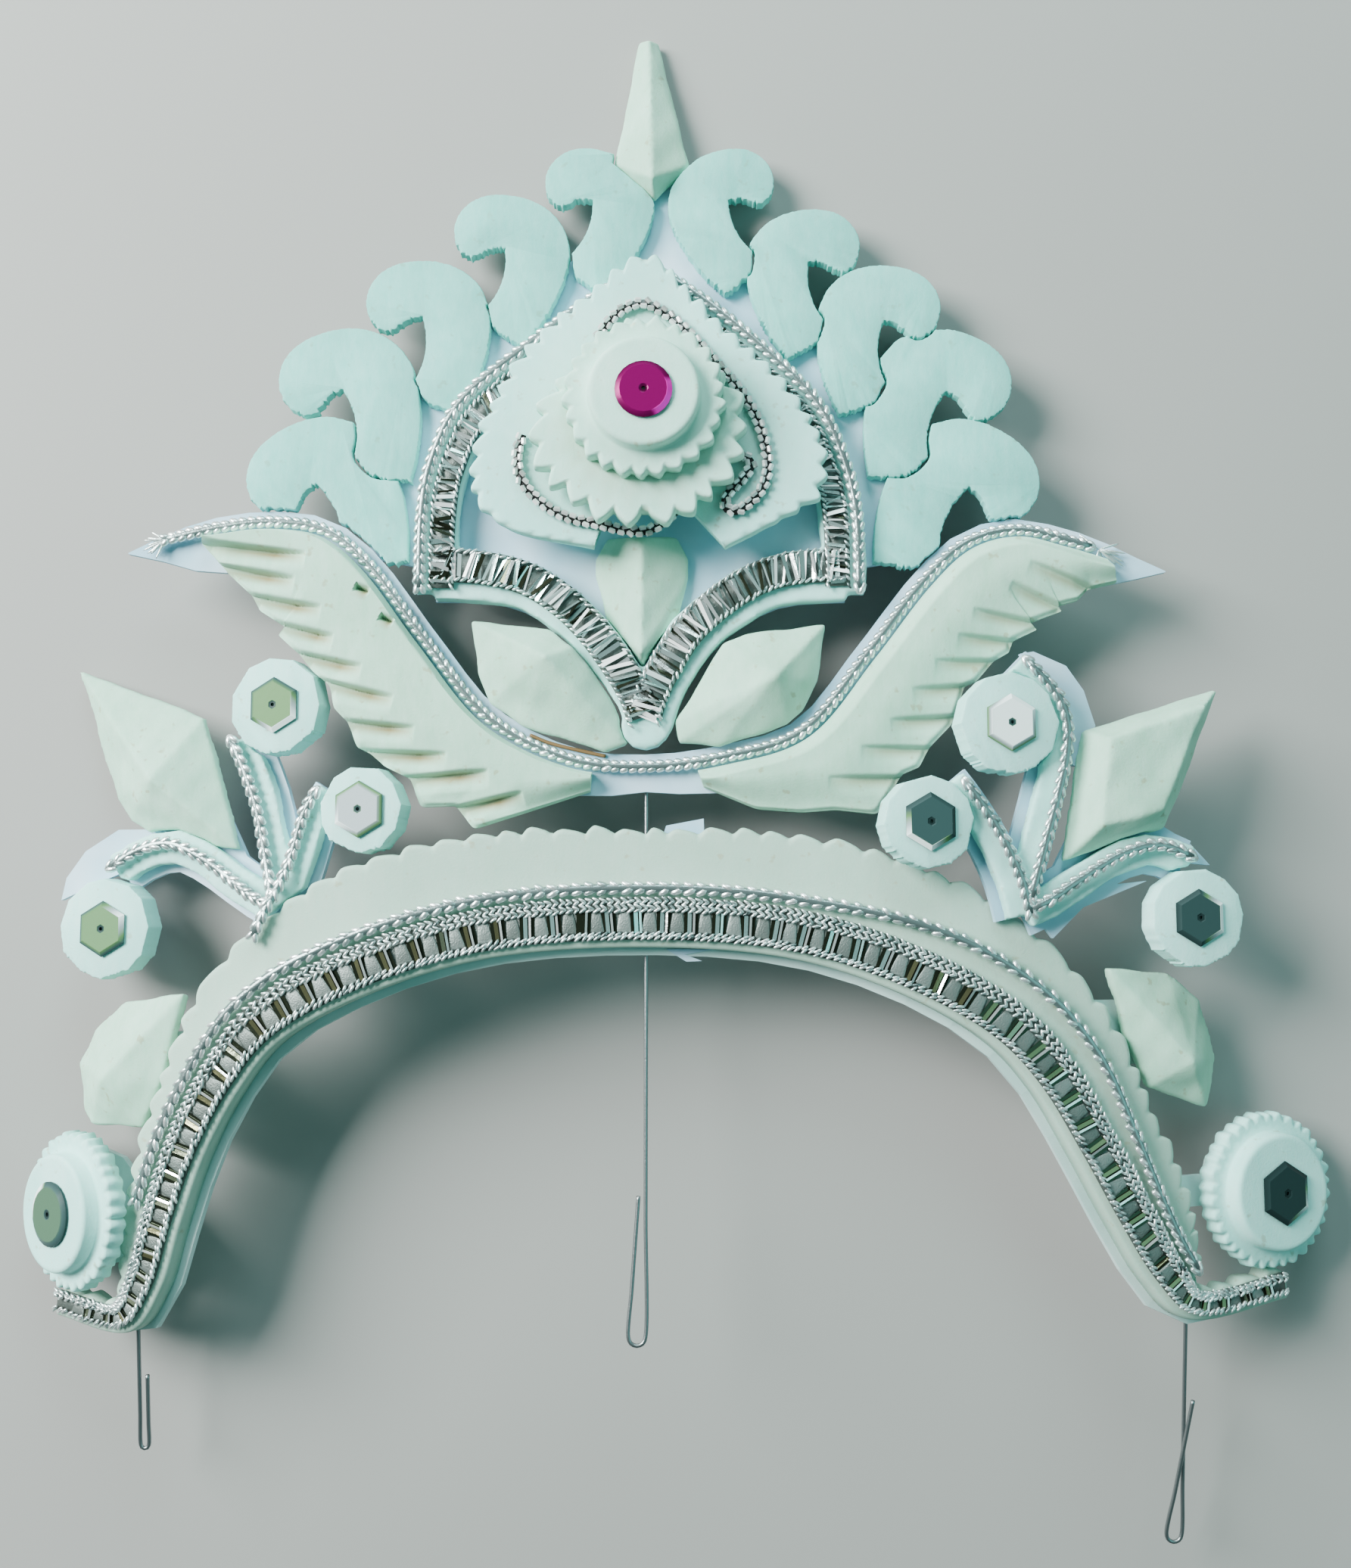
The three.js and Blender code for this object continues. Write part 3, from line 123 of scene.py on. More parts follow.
# Knife cuts between the feathers, each from the notch inwards, and small nicks beside the rope.
GOUGES = {
    "left": table(
        "x y to_x to_y slope",
        (-0.0669, 0.1217, -0.0528, 0.1199), (-0.0669, 0.1186, -0.0545, 0.1161),
        (-0.0618, 0.1138, -0.0503, 0.1116), (-0.0564, 0.1091, -0.0484, 0.1071),
        (-0.0542, 0.1047, -0.0439, 0.1024), (-0.0495, 0.1002, -0.0389, 0.0975),
        (-0.0470, 0.0941, -0.0356, 0.0928), (-0.0432, 0.0893, -0.0306, 0.0887),
        (-0.0370, 0.0852, -0.0241, 0.0861), (-0.0294, 0.0805, -0.0189, 0.0828),
        (-0.0446, 0.1148, -0.0428, 0.1141, 0.0009), (-0.0407, 0.1101, -0.0390, 0.1093, 0.0009),
    ),
    "right": table(
        "x y to_x to_y",
        (0.0695, 0.1150, 0.0595, 0.1187), (0.0641, 0.1123, 0.0566, 0.1156),
        (0.0598, 0.1097, 0.0506, 0.1113), (0.0565, 0.1066, 0.0482, 0.1073),
        (0.0555, 0.1035, 0.0446, 0.1033), (0.0507, 0.0997, 0.0410, 0.0988),
        (0.0470, 0.0947, 0.0375, 0.0940), (0.0439, 0.0898, 0.0330, 0.0898),
        (0.0397, 0.0853, 0.0279, 0.0851),
    ),
}
# The last row sets a narrow tan line of painted shade on the slope just below each cut's wall: its width, its
# offset and where along the cut it starts.
GOUGE = {
    "wall": 0.00032, "slope": 0.0028, "slope_power": 1.4, "past": 0.25,
    "depth": {"left": 0.0021, "right": 0.0013}, "fade": {"left": 0.35, "right": 1.0}, "fade_power": 0.6,
    "painted_shade": 0.0013, "painted_shade_shift": 0.4, "painted_shade_start": 0.35,
}
WING_GRID = {"along": 26, "across": 64}

# Line of the crest rope from the apex to the lower corners, and of the braid from there to the V.
CREST_LINE = table(
    "y left right",
    (0.1656, 0.0000, 0.0000), (0.1621, 0.0071, 0.0074), (0.1538, 0.0184, 0.0176), (0.1446, 0.0290, 0.0266),
    (0.1349, 0.0336, 0.0310), (0.1264, 0.0350, 0.0328), (0.1144, 0.0352, 0.0331),
)
ARCH_LINE = table(
    "y left right",
    (0.1186, 0.0330, 0.0310), (0.1180, 0.0251, 0.0230), (0.1164, 0.0188, 0.0174), (0.1130, 0.0132, 0.0118),
    (0.1085, 0.0086, 0.0068), (0.1037, 0.0050, 0.0036), (0.0984, 0.0018, 0.0009), (0.0938, 0.0002, -0.0004),
)
CREST_LADDER = {"offset": 0.0033, "half": 0.00195, "arch_half": 0.0026}

# Boss of the crest: half widths of the two outer leaves and of the petal plate at the valleys of their teeth.
BOSS = np.array((-0.0002, 0.1416))
LEAVES = table(
    "y left right",
    (0.1664, 0.0006, 0.0002), (0.1650, 0.0028, 0.0024), (0.1597, 0.0088, 0.0066), (0.1536, 0.0156, 0.0128),
    (0.1475, 0.0204, 0.0194), (0.1415, 0.0236, 0.0240), (0.1355, 0.0256, 0.0268), (0.1295, 0.0258, 0.0258),
    (0.1238, 0.0216, 0.0186), (0.1204, 0.0080, 0.0122),
)
LEAF_NOTCH = [(0.0072, 0.1260), (0.0, 0.1380), (-0.0068, 0.1260)]
LEAF_PLAIN = {"below": 0.1235, "above": 0.1285}
PETALS = table(
    "y left right",
    (0.1538, 0.0008, 0.0004), (0.1506, 0.0050, 0.0046), (0.1464, 0.0098, 0.0096), (0.1416, 0.0142, 0.0132),
    (0.1366, 0.0160, 0.0134), (0.1322, 0.0144, 0.0122), (0.1284, 0.0108, 0.0086), (0.1256, 0.0062, 0.0056),
    (0.1248, 0.0006, 0.0004),
)
# core, in both plates: how much tan is painted towards the middle as the shade under the tier above, partly
# glue stain.
LEAF_PLATE = {
    "low": 0.0055, "high": 0.0075, "pitch": 0.0034, "depth": 0.0017, "flute": 0.0004, "run": 0.0010,
    "peak": 0.62, "point": 0.75, "core": 0.5,
}
PETAL_PLATE = {
    "low": 0.0096, "high": 0.0122, "pitch": 0.0039, "depth": 0.0023, "flute": 0.0004, "run": 0.0010,
    "peak": 0.62, "point": 0.75, "core": 0.9,
}
BOSS_PADS = [{"radius": 0.0100, "low": 0, "high": 0.0060}, {"radius": 0.0090, "low": 0.0078, "high": 0.0101}]
BOSS_ROSETTE = {
    "low": 0.0125, "radius": 0.0112, "pitch": 0.0028, "depth": 0.0013, "flute": 0.0005, "run": 0.0009,
    "peak": 0.65, "point": 0.7, "rim": 0.0025, "disc_radius": 0.0085, "disc": 0.0025,
}
END_ROSETTE = {
    "low": 0.0013, "radius": 0.0114, "pitch": 0.0021, "depth": 0.0010, "flute": 0.0006, "run": 0.0010,
    "peak": 0.5, "point": 0.55, "rim": 0.0027, "disc_radius": 0.0092, "disc": 0.0026,
}
ENDS = {
    "left": {"x": 0.0876, "y": 0.0178, "extra_turn": 10, "lift": 0.0022},
    "right": {"x": 0.0970, "y": 0.0208, "extra_turn": -5, "lift": 0.0014},
}
BAND_FACE = {
    "top": 0.0043, "pitch": 0.0041, "depth": 0.0016, "flute": 0.0003, "peak": 0.3, "point": 0.4,
    "spacing": 0.00025,
}

# Route of the bead cord on the leaves.
BEAD_ROUTE = table(
    "x y",
    (-0.0190, 0.1378), (-0.0198, 0.1344), (-0.0190, 0.1305), (-0.0159, 0.1270), (-0.0120, 0.1248),
    (-0.0074, 0.1238), (-0.0032, 0.1228), (0.0004, 0.1228), (0.0038, 0.1250), (0.0072, 0.1290),
    (0.0110, 0.1330), (0.0146, 0.1346), (0.0162, 0.1332), (0.0148, 0.1308), (0.0124, 0.1282),
    (0.0122, 0.1264), (0.0136, 0.1258), (0.0158, 0.1270), (0.0180, 0.1297), (0.0187, 0.1328),
    (0.0182, 0.1368), (0.0167, 0.1411), (0.0142, 0.1451), (0.0113, 0.1485), (0.0086, 0.1517),
    (0.0057, 0.1549), (0.0026, 0.1573), (-0.0002, 0.1587), (-0.0029, 0.1581), (-0.0056, 0.1559),
    (-0.0075, 0.1531),
)

# Florets: the foot of each on the band, its level there, rope routes as outwards, up and rise, and discs.
FLORETS = {
    "left": {
        "x": 0.058, "y": 0.063, "level": -0.0003,
        "ropes": [
            [(-0.0006, 0.0030, 0.0020), (0.0030, 0.0048, 0.0012), (0.0064, 0.0070, 0), (0.0116, 0.0104, 0),
             (0.0170, 0.0125, 0), (0.0224, 0.0114, 0), (0.0270, 0.0088, 0)],
            [(-0.0016, 0.0042, 0.0016), (-0.0004, 0.0074, 0.0004), (0.0006, 0.0116, 0), (0.0022, 0.0184, 0),
             (0.0044, 0.0240, 0), (0.0066, 0.0286, 0)],
            [(0.0008, -0.0022, 0.0026), (-0.0010, 0.0018, 0.0026), (-0.0024, 0.0056, 0.0010),
             (-0.0040, 0.0104, 0), (-0.0060, 0.0170, 0), (-0.0082, 0.0208, 0)],
        ],
        "discs": table(
            "name u v radius sides",
            ("outer", 0.0274, -0.0009, 0.0080, 12), ("upper", -0.0009, 0.0338, 0.0078, 11),
            ("inner", -0.0154, 0.0173, 0.0069, 11),
        ),
    },
    "right": {
        "x": 0.0575, "y": 0.0635, "level": 0.0059,
        "ropes": [
            [(-0.0014, 0.0016, 0), (0.0016, 0.0028, 0), (0.0064, 0.0059, 0), (0.0142, 0.0102, 0),
             (0.0200, 0.0114, 0), (0.0256, 0.0094, 0)],
            [(-0.0012, 0.0030, 0), (0.0006, 0.0090, 0), (0.0034, 0.0184, 0), (0.0049, 0.0244, 0),
             (0.0053, 0.0296, 0), (0.0039, 0.0340, 0), (-0.0014, 0.0396, 0)],
            [(-0.0012, 0.0006, 0), (-0.0026, 0.0060, 0), (-0.0054, 0.0122, 0), (-0.0088, 0.0175, 0),
             (-0.0118, 0.0213, 0)],
        ],
        "discs": table(
            "name u v radius sides",
            ("outer", 0.0254, 0.0003, 0.0077, 13), ("upper", -0.0041, 0.0296, 0.0080, 12),
            ("inner", -0.0170, 0.0145, 0.0072, 12),
        ),
    },
}
FLORET_ROPE = {"level": 0.00345, "reach": 0.0011}

# Slabs cut from sheet: rounding of the front edge, wavering of the outline, and the turn that makes a corner.
SLAB = {"spacing": 0.0003, "waver": 0.4, "waver_below": 1.6, "ease": 0.3, "sharp": 28}
SCROLL = {"bevel": 0.0003, "ragged": 0.00007, "corner": 48}
FLORET_DISC = {
    "thick": 0.004, "bevel": 0.0004, "ragged": 0.00004, "corner": 5, "turn": 0.22, "reach": (0.965, 1.0),
}

# Wire pins: top, bottom of the leg, free end, turn of the eye, shift across, drop and lift.
PINS = table(
    "name x top bottom end turn across drop lift",
    ("wire_centre", 0, 0.088, 0.0006, 0.0215, -0.0013, 0.0015, 0, 0),
    ("wire_left", -0.0808, 0.006, -0.0196, -0.0084, 0.00065, 0, 0.004, 0),
    ("wire_right", 0.0854, 0.006, -0.034, -0.012, -0.0012, 0.0034, 0.006, 0.0012),
)
WIRE_RADIUS = 0.00033

# Braid: spacing of the points of its line, and the stitches of rope, knitted edges and loose ends, and beads.
LINE_SPACING = 0.0008
FINE_SPACING = 0.0005
ROPE_RADIUS = 0.00095
ROPE_START = 0.0003
ROPE = {
    "row": 0.00040, "slant": 25, "slant_spread": 4, "roll": 22, "length": 1.4, "width": 0.0011,
    "height": 0.0011, "uneven": 0.00005, "tone": 0.82, "tone_spread": 0.18, "least_tone": 0.3,
    "core": 0.0007, "core_flat": 0.7, "core_tone": 0.25,
}
ROPE_PITCH = {"band": 0.0018, "floret": 0.0017, "crest": 0.0016, "wing": 0.0014}
KNIT = {
    "rise": 0.0007, "jitter": 0.08, "stray": 0.00006, "uneven": (-0.00012, 0.0002), "slant_spread": 7,
    "length": (0.0012, 0.0016), "width": 0.00052, "height": 0.0005,
    "tone": 0.68, "tone_spread": 0.2, "least_tone": 0.1,
}
FRAY = {
    "count": 16, "left": 0.0040, "right": 0.0050, "shortest": 0.4, "droop": 0.25, "spread": 0.45,
    "flat": 0.25, "width": 0.0004, "height": 0.0003, "tones": (1, 0.9, 0.7, 0.4),
}
BEAD = {
    "pitch": 0.00138, "row": 0.00050, "length": 0.00126, "width": 0.00098, "height": 0.00100, "start": 0.0004,
    "level": 0.00055, "stagger": 0.2, "slant": 14, "slant_spread": 10, "tone": 0.8, "tone_spread": 0.25,
    "least_tone": 0.15, "thread": {"below": 0.0003, "wide": 0.0007, "high": 0.0003},
}

# Ladder braid: pleats of net, strips of foil between them in shares of the pitch, and the foil of the crest.
LADDER_START = 0.0005
LADDER_KNIT = table("share slant", (0.05, 34), (0.13, 34), (0.70, 30), (0.79, -30), (0.88, 30), (0.96, -30))
LADDER_KNIT_PITCH = 0.0010
PLEAT = {
    "pitch": 0.0041, "tall": 0.00025, "half": 0.31, "jitter": 0.05, "lean": 0.06, "tone": (0.04, 0.24),
    "olive_left_of": -0.022, "olive_right_of": 0.034, "arc": 8, "blunt": 0.6,
}
PLEAT_RINGS = table(
    "share wide tall", (0, 1, 0.4), (0.1, 1, 0.9), (0.5, 0.82, 1), (0.9, 0.64, 0.9), (1, 0.56, 0.4)
)
# Tones of a window's strips: near black, olive near the band's ends or teal between, and bright, a painted
# highlight along the fold.
WINDOW_TONES = {"dark": 0.03, "olive": (0.40, 0.32, 0.44), "teal": 0.72, "bright": (1, 0.95)}
WINDOW_UNEVEN = (-0.00004, 0.00018)
WINDOW_STRIPS = table(
    "shift half rise",
    (0, 0.26, 0.00035), (-0.06, 0.07, 0.0005), (0.10, 0.04, 0.0007),
)
TINSEL = {
    "pitch": 0.0007, "jitter": 0.3, "half": 0.00028, "halves": (0.5, 1.3), "skew": 0.0012,
    "skews": (-0.6, 1.2), "levels": (0.0004, 0.0012), "inset": (0.0002, 0.0009), "sparks": 0.26,
    "edge": 0.00035, "knit_pitch": 0.0011, "knit_slant": 35,
    "tones": (1, 1, 0.95, 0.9, 0.85, 0.8, 0.75, 0.65, 0.06, 0.03),
}
FOIL_THICK = 0.00008
# The backing is toned dark: painted shade in the gaps between the strips.
BACKING = {"thick": 0.0003, "step": 0.0012, "tone": 0.03}

# Glue that shows beside the pith, small torn flaps of card, and the rounding of the cards' edges.
GLUE_BEAD = {"spacing": 0.0004, "wide": 0.0003, "high": 0.0002}
GLUE_LINES = [
    [(-0.0181, 0.0921), (-0.0151, 0.0909), (-0.0104, 0.0897), (-0.0063, 0.0888)],
    [(-0.0057, 0.0976), (-0.0052, 0.0946), (-0.0034, 0.0911)],
]
FLAPS = [
    {"level": 0.0010, "points": [(0.0023, 0.0755), (0.0090, 0.0755), (0.0089, 0.0791), (0.0031, 0.0780)]},
    {"level": 0.0010, "points": [(0.0031, 0.0590), (0.0062, 0.0571), (0.0086, 0.0572), (0.0060, 0.0582),
                                 (0.0107, 0.0590)]},
]
FLAP_THICK = 0.0003
CARD_EDGE = 0.00015

# Camera over the crown as the photograph was taken.
CAMERA = {"x": -0.00035, "y": 0.00397, "z": 0.2533, "tilt": -0.84, "lens": 41.02, "sensor": 36, "near": 0.01}


# Axes of the crown in the row frame.
mount = frame["record"]["mounts"][0]
face_out = -Vector(mount["axis"])
face_up = face_out.cross(Vector((1, 0, 0)))
AXES = np.array([(1, 0, 0), face_up, face_out])
ORIGIN = np.array(Vector(mount["pos_m"]) - face_up * MOUNT_AT["y"] - face_out * MOUNT_AT["z"])


def to_row(points):
    return points @ AXES + ORIGIN


def to_crown(points):
    return (points - ORIGIN) @ AXES.T


# Lines and the places beside them.
def unit(vectors):
    return vectors / np.linalg.norm(vectors, axis=-1, keepdims=True)


def distances(line):
    """How far along a line each of its points is."""
    return np.concatenate([[0], np.cumsum(np.linalg.norm(np.diff(line, axis=0), axis=1))])


def smooth_line(points, spacing, power=0.5):
    """Points a set distance apart along a smooth curve through the given points."""
    points = np.asarray(points, float)
    padded = np.vstack([2 * points[0] - points[1], points, 2 * points[-1] - points[-2]])
    share = np.linspace(0, 1, 24, endpoint=False)[:, None]
    fine = []
    for a, b, c, d in zip(padded, padded[1:], padded[2:], padded[3:]):
        before, here, after = (np.linalg.norm(q - p) ** power for p, q in ((a, b), (b, c), (c, d)))
        start = ((b - a) / before - (c - a) / (before + here) + (c - b) / here) * here
        end = ((c - b) / here - (d - b) / (here + after) + (d - c) / after) * here
        square = 3 * (c - b) - 2 * start - end
        cube = 2 * (b - c) + start + end
        fine.append(b + start * share + square * share**2 + cube * share**3)
    fine.append(points[-1:])
    fine = np.vstack(fine)
    along = distances(fine)
    stops = np.linspace(0, along[-1], max(2, round(along[-1] / spacing) + 1))
    return np.stack([np.interp(stops, along, column) for column in fine.T], axis=1)


def straight_line(corners, shares):
    """Places on the straight runs between corners, counted in corners from the first."""
    return np.stack([np.interp(shares, range(len(corners)), column) for column in corners.T], axis=1)


def softened(values, rounds):
    """Values along a line, each inner one drawn towards its neighbours."""
    for _ in range(rounds):
        values[1:-1] = 0.25 * values[:-2] + 0.5 * values[1:-1] + 0.25 * values[2:]
    return values


def rays(angles):
    return np.stack([np.cos(angles), np.sin(angles)], axis=1)


def eased(share):
    share = np.clip(share, 0, 1)
    return share * share * (3 - 2 * share)


def left_normals(line):
    heading = unit(np.gradient(line, axis=0))
    return np.stack([-heading[:, 1], heading[:, 0]], axis=1)


def flat_place(points, level):
    level = np.broadcast_to(level, points[..., 0].shape)
    return np.stack([points[..., 0], points[..., 1], level], axis=-1)


def band_turn(x):
    reach = np.where(x < 0, BAND["left"], BAND["right"]) - BAND["flat"]
    radius = (reach**2 + BAND["sag"] ** 2) / (2 * BAND["sag"])
    past = np.maximum(np.abs(x) - BAND["flat"], 0)
    return np.sign(x) * np.arcsin(np.minimum(past / radius, 1)), radius


def band_place(points, level):
    x, y = points[..., 0], points[..., 1]
    turn, radius = band_turn(x)
    depth = radius * (1 - np.cos(turn))
    return np.stack([x + level * np.sin(turn), y, level * np.cos(turn) - depth], axis=-1)


class Ribbon:
    """A line on the crown that braid follows, with places to its left hand and above it."""

    def __init__(self, line, place=flat_place):
        self.line = line
        self.normals = left_normals(line)
        self.along = distances(line)
        self.length = self.along[-1]
        self.place = place

    def at(self, stops, offset, level):
        beside = [
            np.interp(stops, self.along, self.line[:, k])
            + offset * np.interp(stops, self.along, self.normals[:, k])
            for k in (0, 1)
        ]
        return self.place(np.stack(beside, axis=-1), level)

    def frames(self, stops, offset, level):
        step = 0.0003
        here = self.at(stops, offset, level)
        ahead = unit(self.at(stops + step, offset, level) - self.at(stops - step, offset, level))
        up = self.at(stops, offset, level + step) - here
        up = unit(up - ahead * np.sum(up * ahead, axis=-1, keepdims=True))
        return here, ahead, np.cross(up, ahead), up


# Meshes gathered from many small closed bodies.
class Heap:
    def __init__(self):
        self.points, self.faces, self.tones, self.finishes, self.count = [], [], [], [], 0

    def add(self, points, faces, tones=0.5, finish=0):
        self.points.append(points)
        self.faces.extend([tuple(int(i) + self.count for i in face) for face in faces])
        self.tones.append(np.broadcast_to(tones, len(points)))
        self.finishes.extend([finish] * len(faces))
        self.count += len(points)

    def loft(self, rings, tones=0.5, finish=0, hoop=False):
        """A closed body through rings of equal count; a hoop joins its last ring to its first."""
        rings = np.asarray(rings)
        count, sides = rings.shape[:2]
        faces = [
            (i * sides + j, i * sides + (j + 1) % sides,
             (i + 1) % count * sides + (j + 1) % sides, (i + 1) % count * sides + j)
            for i in range(count if hoop else count - 1)
            for j in range(sides)
        ]
        if not hoop:
            faces.append(tuple(reversed(range(sides))))
            faces.append(tuple(range((count - 1) * sides, count * sides)))
        self.add(rings.reshape(-1, 3), faces, tones, finish)

    def build(self, name, finishes, flat=(), channel="tone", sharp=None):
        mesh = bpy.data.meshes.new(name)
        mesh.from_pydata(to_row(np.vstack(self.points)).tolist(), [], self.faces)
        for finish in finishes:
            mesh.materials.append(finish)
        mesh.polygons.foreach_set("material_index", self.finishes)
        tone = mesh.attributes.new(channel, "FLOAT", "POINT")
        tone.data.foreach_set("value", np.concatenate(self.tones).astype(np.float32))
        mesh.polygons.foreach_set("use_smooth", [finish not in flat for finish in self.finishes])
        if sharp:
            mesh.set_sharp_from_angle(angle=math.radians(sharp))
        mesh.update()
        return add_piece(name, mesh)


def link_object(name, data):
    item = bpy.data.objects.new(name, data)
    bpy.context.scene.collection.objects.link(item)
    return item


def add_piece(name, mesh):
    piece = link_object(name, mesh)
    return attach(piece, "root")


def dress(piece, slot, *nodes):
    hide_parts(*nodes)


# One stitch or bead: rings of a unit grain along its length.
def grain_shape(stops, sides):
    points = [(-0.5, 0, 0)]
    for stop, wide in stops:
        for k in range(sides):
            angle = 2 * math.pi * (k + 0.5) / sides
            points.append((stop, 0.5 * wide * math.cos(angle), 0.5 * wide * math.sin(angle)))
    points.append((0.5, 0, 0))
    last = len(points) - 1
    faces = []
    for k in range(sides):
        following = (k + 1) % sides
        faces.append((0, 1 + following, 1 + k))
        for ring in range(len(stops) - 1):
            low, high = 1 + ring * sides, 1 + (ring + 1) * sides
            faces.append((low + k, low + following, high + following, high + k))
        top = 1 + (len(stops) - 1) * sides
        faces.append((last, top + k, top + following))
    return np.array(points), faces


STITCH = grain_shape([(-0.36, 0.72), (0, 1), (0.36, 0.72)], 6)
SEED = grain_shape([(-0.34, 0.86), (0.34, 0.86)], 6)


def add_grains(heap, shape, frames, length, width, height, tones, finish=0):
    points, faces = shape
    here, ahead, side, up = frames
    sizes = [np.broadcast_to(size, len(here))[:, None, None] for size in (length, width, height)]
    placed = here[:, None, :]
    for column, axis, size in zip(points.T, (ahead, side, up), sizes):
        placed = placed + column[None, :, None] * axis[:, None, :] * size
    all_faces = [tuple(i + grain * len(points) for i in face) for grain in range(len(here)) for face in faces]
    all_tones = np.repeat(np.broadcast_to(tones, len(here)), len(points))
    heap.add(placed.reshape(-1, 3), all_faces, all_tones, finish)


def slanted(frames, degrees):
    here, ahead, side, up = frames
    turn = np.radians(np.broadcast_to(degrees, len(here)))[:, None]
    return here, ahead * np.cos(turn) + side * np.sin(turn), side * np.cos(turn) - ahead * np.sin(turn), up


def rolled(frames, degrees):
    here, ahead, side, up = frames
    cosine, sine = math.cos(math.radians(degrees)), math.sin(math.radians(degrees))
    return here, ahead, side * cosine - up * sine, up * cosine + side * sine


def add_tube(heap, line, ups, wide, high, sides, tones=0.5, finish=0):
    ahead = unit(np.gradient(line, axis=0))
    side = unit(np.cross(ups, ahead))
    angles = 2 * math.pi * (np.arange(sides) + 0.5) / sides
    rings = (
        line[:, None, :]
        + wide * np.cos(angles)[None, :, None] * side[:, None, :]
        + high * np.sin(angles)[None, :, None] * np.cross(ahead, side)[:, None, :]
    )
    heap.loft(rings, tones, finish)


def add_rope(heap, frames_at, stops, pitch):
    """Two rows of slanted stitches that meet in chevrons, over a dark core that also paints the shade between
    the rows.
    """
    for row in (-1, 1):
        slants = -row * (ROPE["slant"] + draws.normal(0, ROPE["slant_spread"], len(stops)))
        frames = slanted(frames_at(stops, row * ROPE["row"]), slants)
        here, ahead, side, up = rolled(frames, row * ROPE["roll"])
        lifted = here + up * draws.normal(0, ROPE["uneven"], len(stops))[:, None]
        tones = np.clip(draws.normal(ROPE["tone"], ROPE["tone_spread"], len(stops)), ROPE["least_tone"], 1)
        length = ROPE["length"] * pitch
        add_grains(heap, STITCH, (lifted, ahead, side, up), length, ROPE["width"], ROPE["height"], tones)
    here, _, _, up = frames_at(stops, 0)
    core = ROPE["core"]
    add_tube(heap, here, up, core, ROPE["core_flat"] * core, sides=8, tones=ROPE["core_tone"])


# Materials.
def node_material(name):
    material = bpy.data.materials.new(name)
    material.use_nodes = True
    nodes, links = material.node_tree.nodes, material.node_tree.links
    return material, nodes, links, nodes["Principled BSDF"]


def noise(nodes, links, scale, detail=3, rough=0.55, stretch=None):
    coords = nodes.new("ShaderNodeTexCoord")
    texture = nodes.new("ShaderNodeTexNoise")
    texture.inputs["Scale"].default_value = scale
    texture.inputs["Detail"].default_value = detail
    texture.inputs["Roughness"].default_value = rough
    source = coords.outputs["Object"]
    if stretch:
        mapping = nodes.new("ShaderNodeMapping")
        mapping.inputs["Scale"].default_value = stretch
        links.new(source, mapping.inputs["Vector"])
        source = mapping.outputs["Vector"]
    links.new(source, texture.inputs["Vector"])
    return texture.outputs["Fac"]


def ramp(nodes, links, source, stops):
    node = nodes.new("ShaderNodeValToRGB")
    elements = node.color_ramp.elements
    elements[0].position, elements[0].color = stops[0][0], (*stops[0][1], 1)
    elements[1].position, elements[1].color = stops[-1][0], (*stops[-1][1], 1)
    for place, colour in stops[1:-1]:
        elements.new(place).color = (*colour, 1)
    links.new(source, node.inputs["Fac"])
    return node.outputs["Color"]


def mixed(nodes, links, share, first, second, mode="MIX"):
    node = nodes.new("ShaderNodeMix")
    node.data_type = "RGBA"
    node.blend_type = mode
    links.new(share, node.inputs["Factor"])
    for socket, value in ((6, first), (7, second)):
        if isinstance(value, tuple):
            node.inputs[socket].default_value = (*value, 1)
        else:
            links.new(value, node.inputs[socket])
    return node.outputs[2]


def attribute(nodes, name):
    node = nodes.new("ShaderNodeAttribute")
    node.attribute_name = name
    return node.outputs["Fac"]


def bump(nodes, links, shader, height, strength, distance):
    node = nodes.new("ShaderNodeBump")
    node.inputs["Strength"].default_value = strength
    node.inputs["Distance"].default_value = distance
    links.new(height, node.inputs["Height"])
    links.new(node.outputs["Normal"], shader.inputs["Normal"])


def pith_finish(name, shade, light, speck_and_shade_tan):
    """Spongy pith: two tones in soft patches, tan specks, tan painted as shade in grooves, knife cuts and
    under the tiers, and fine pores.
    """
    material, nodes, links, shader = node_material(name)
    specks = ramp(nodes, links, noise(nodes, links, 520, 2), [(0.66, (0, 0, 0)), (0.74, (0.45,) * 3)])
    patches = ramp(nodes, links, noise(nodes, links, 90, 4), [(0.3, shade), (0.7, light)])
    fibres = noise(nodes, links, 900, 4, rough=0.7, stretch=(1, 0.25, 1))
    streaked = mixed(nodes, links, fibres, patches, light, "MULTIPLY")
    specked = mixed(nodes, links, specks, streaked, speck_and_shade_tan)
    # The tan is mixed in by each point's amount of painted shade: in grooves, beside knife cuts and under the
    # upper tiers.
    coloured = mixed(nodes, links, attribute(nodes, "speck_and_shade_tan"), specked, speck_and_shade_tan)
    links.new(coloured, shader.inputs["Base Color"])
    shader.inputs["Roughness"].default_value = 0.72
    shader.inputs["Subsurface Weight"].default_value = 0.12
    shader.inputs["Subsurface Radius"].default_value = (0.0012, 0.001, 0.0008)
    shader.inputs["Specular IOR Level"].default_value = 0.35
    bump(nodes, links, shader, noise(nodes, links, 2600, 4, 0.65), 0.35, 0.00012)
    return material


def card_finish(name, shade, light):
    material, nodes, links, shader = node_material(name)
    colour = ramp(nodes, links, noise(nodes, links, 60, 3), [(0.35, shade), (0.65, light)])
    links.new(colour, shader.inputs["Base Color"])
    shader.inputs["Roughness"].default_value = 0.6
    bump(nodes, links, shader, noise(nodes, links, 3000, 3), 0.2, 0.00005)
    return material


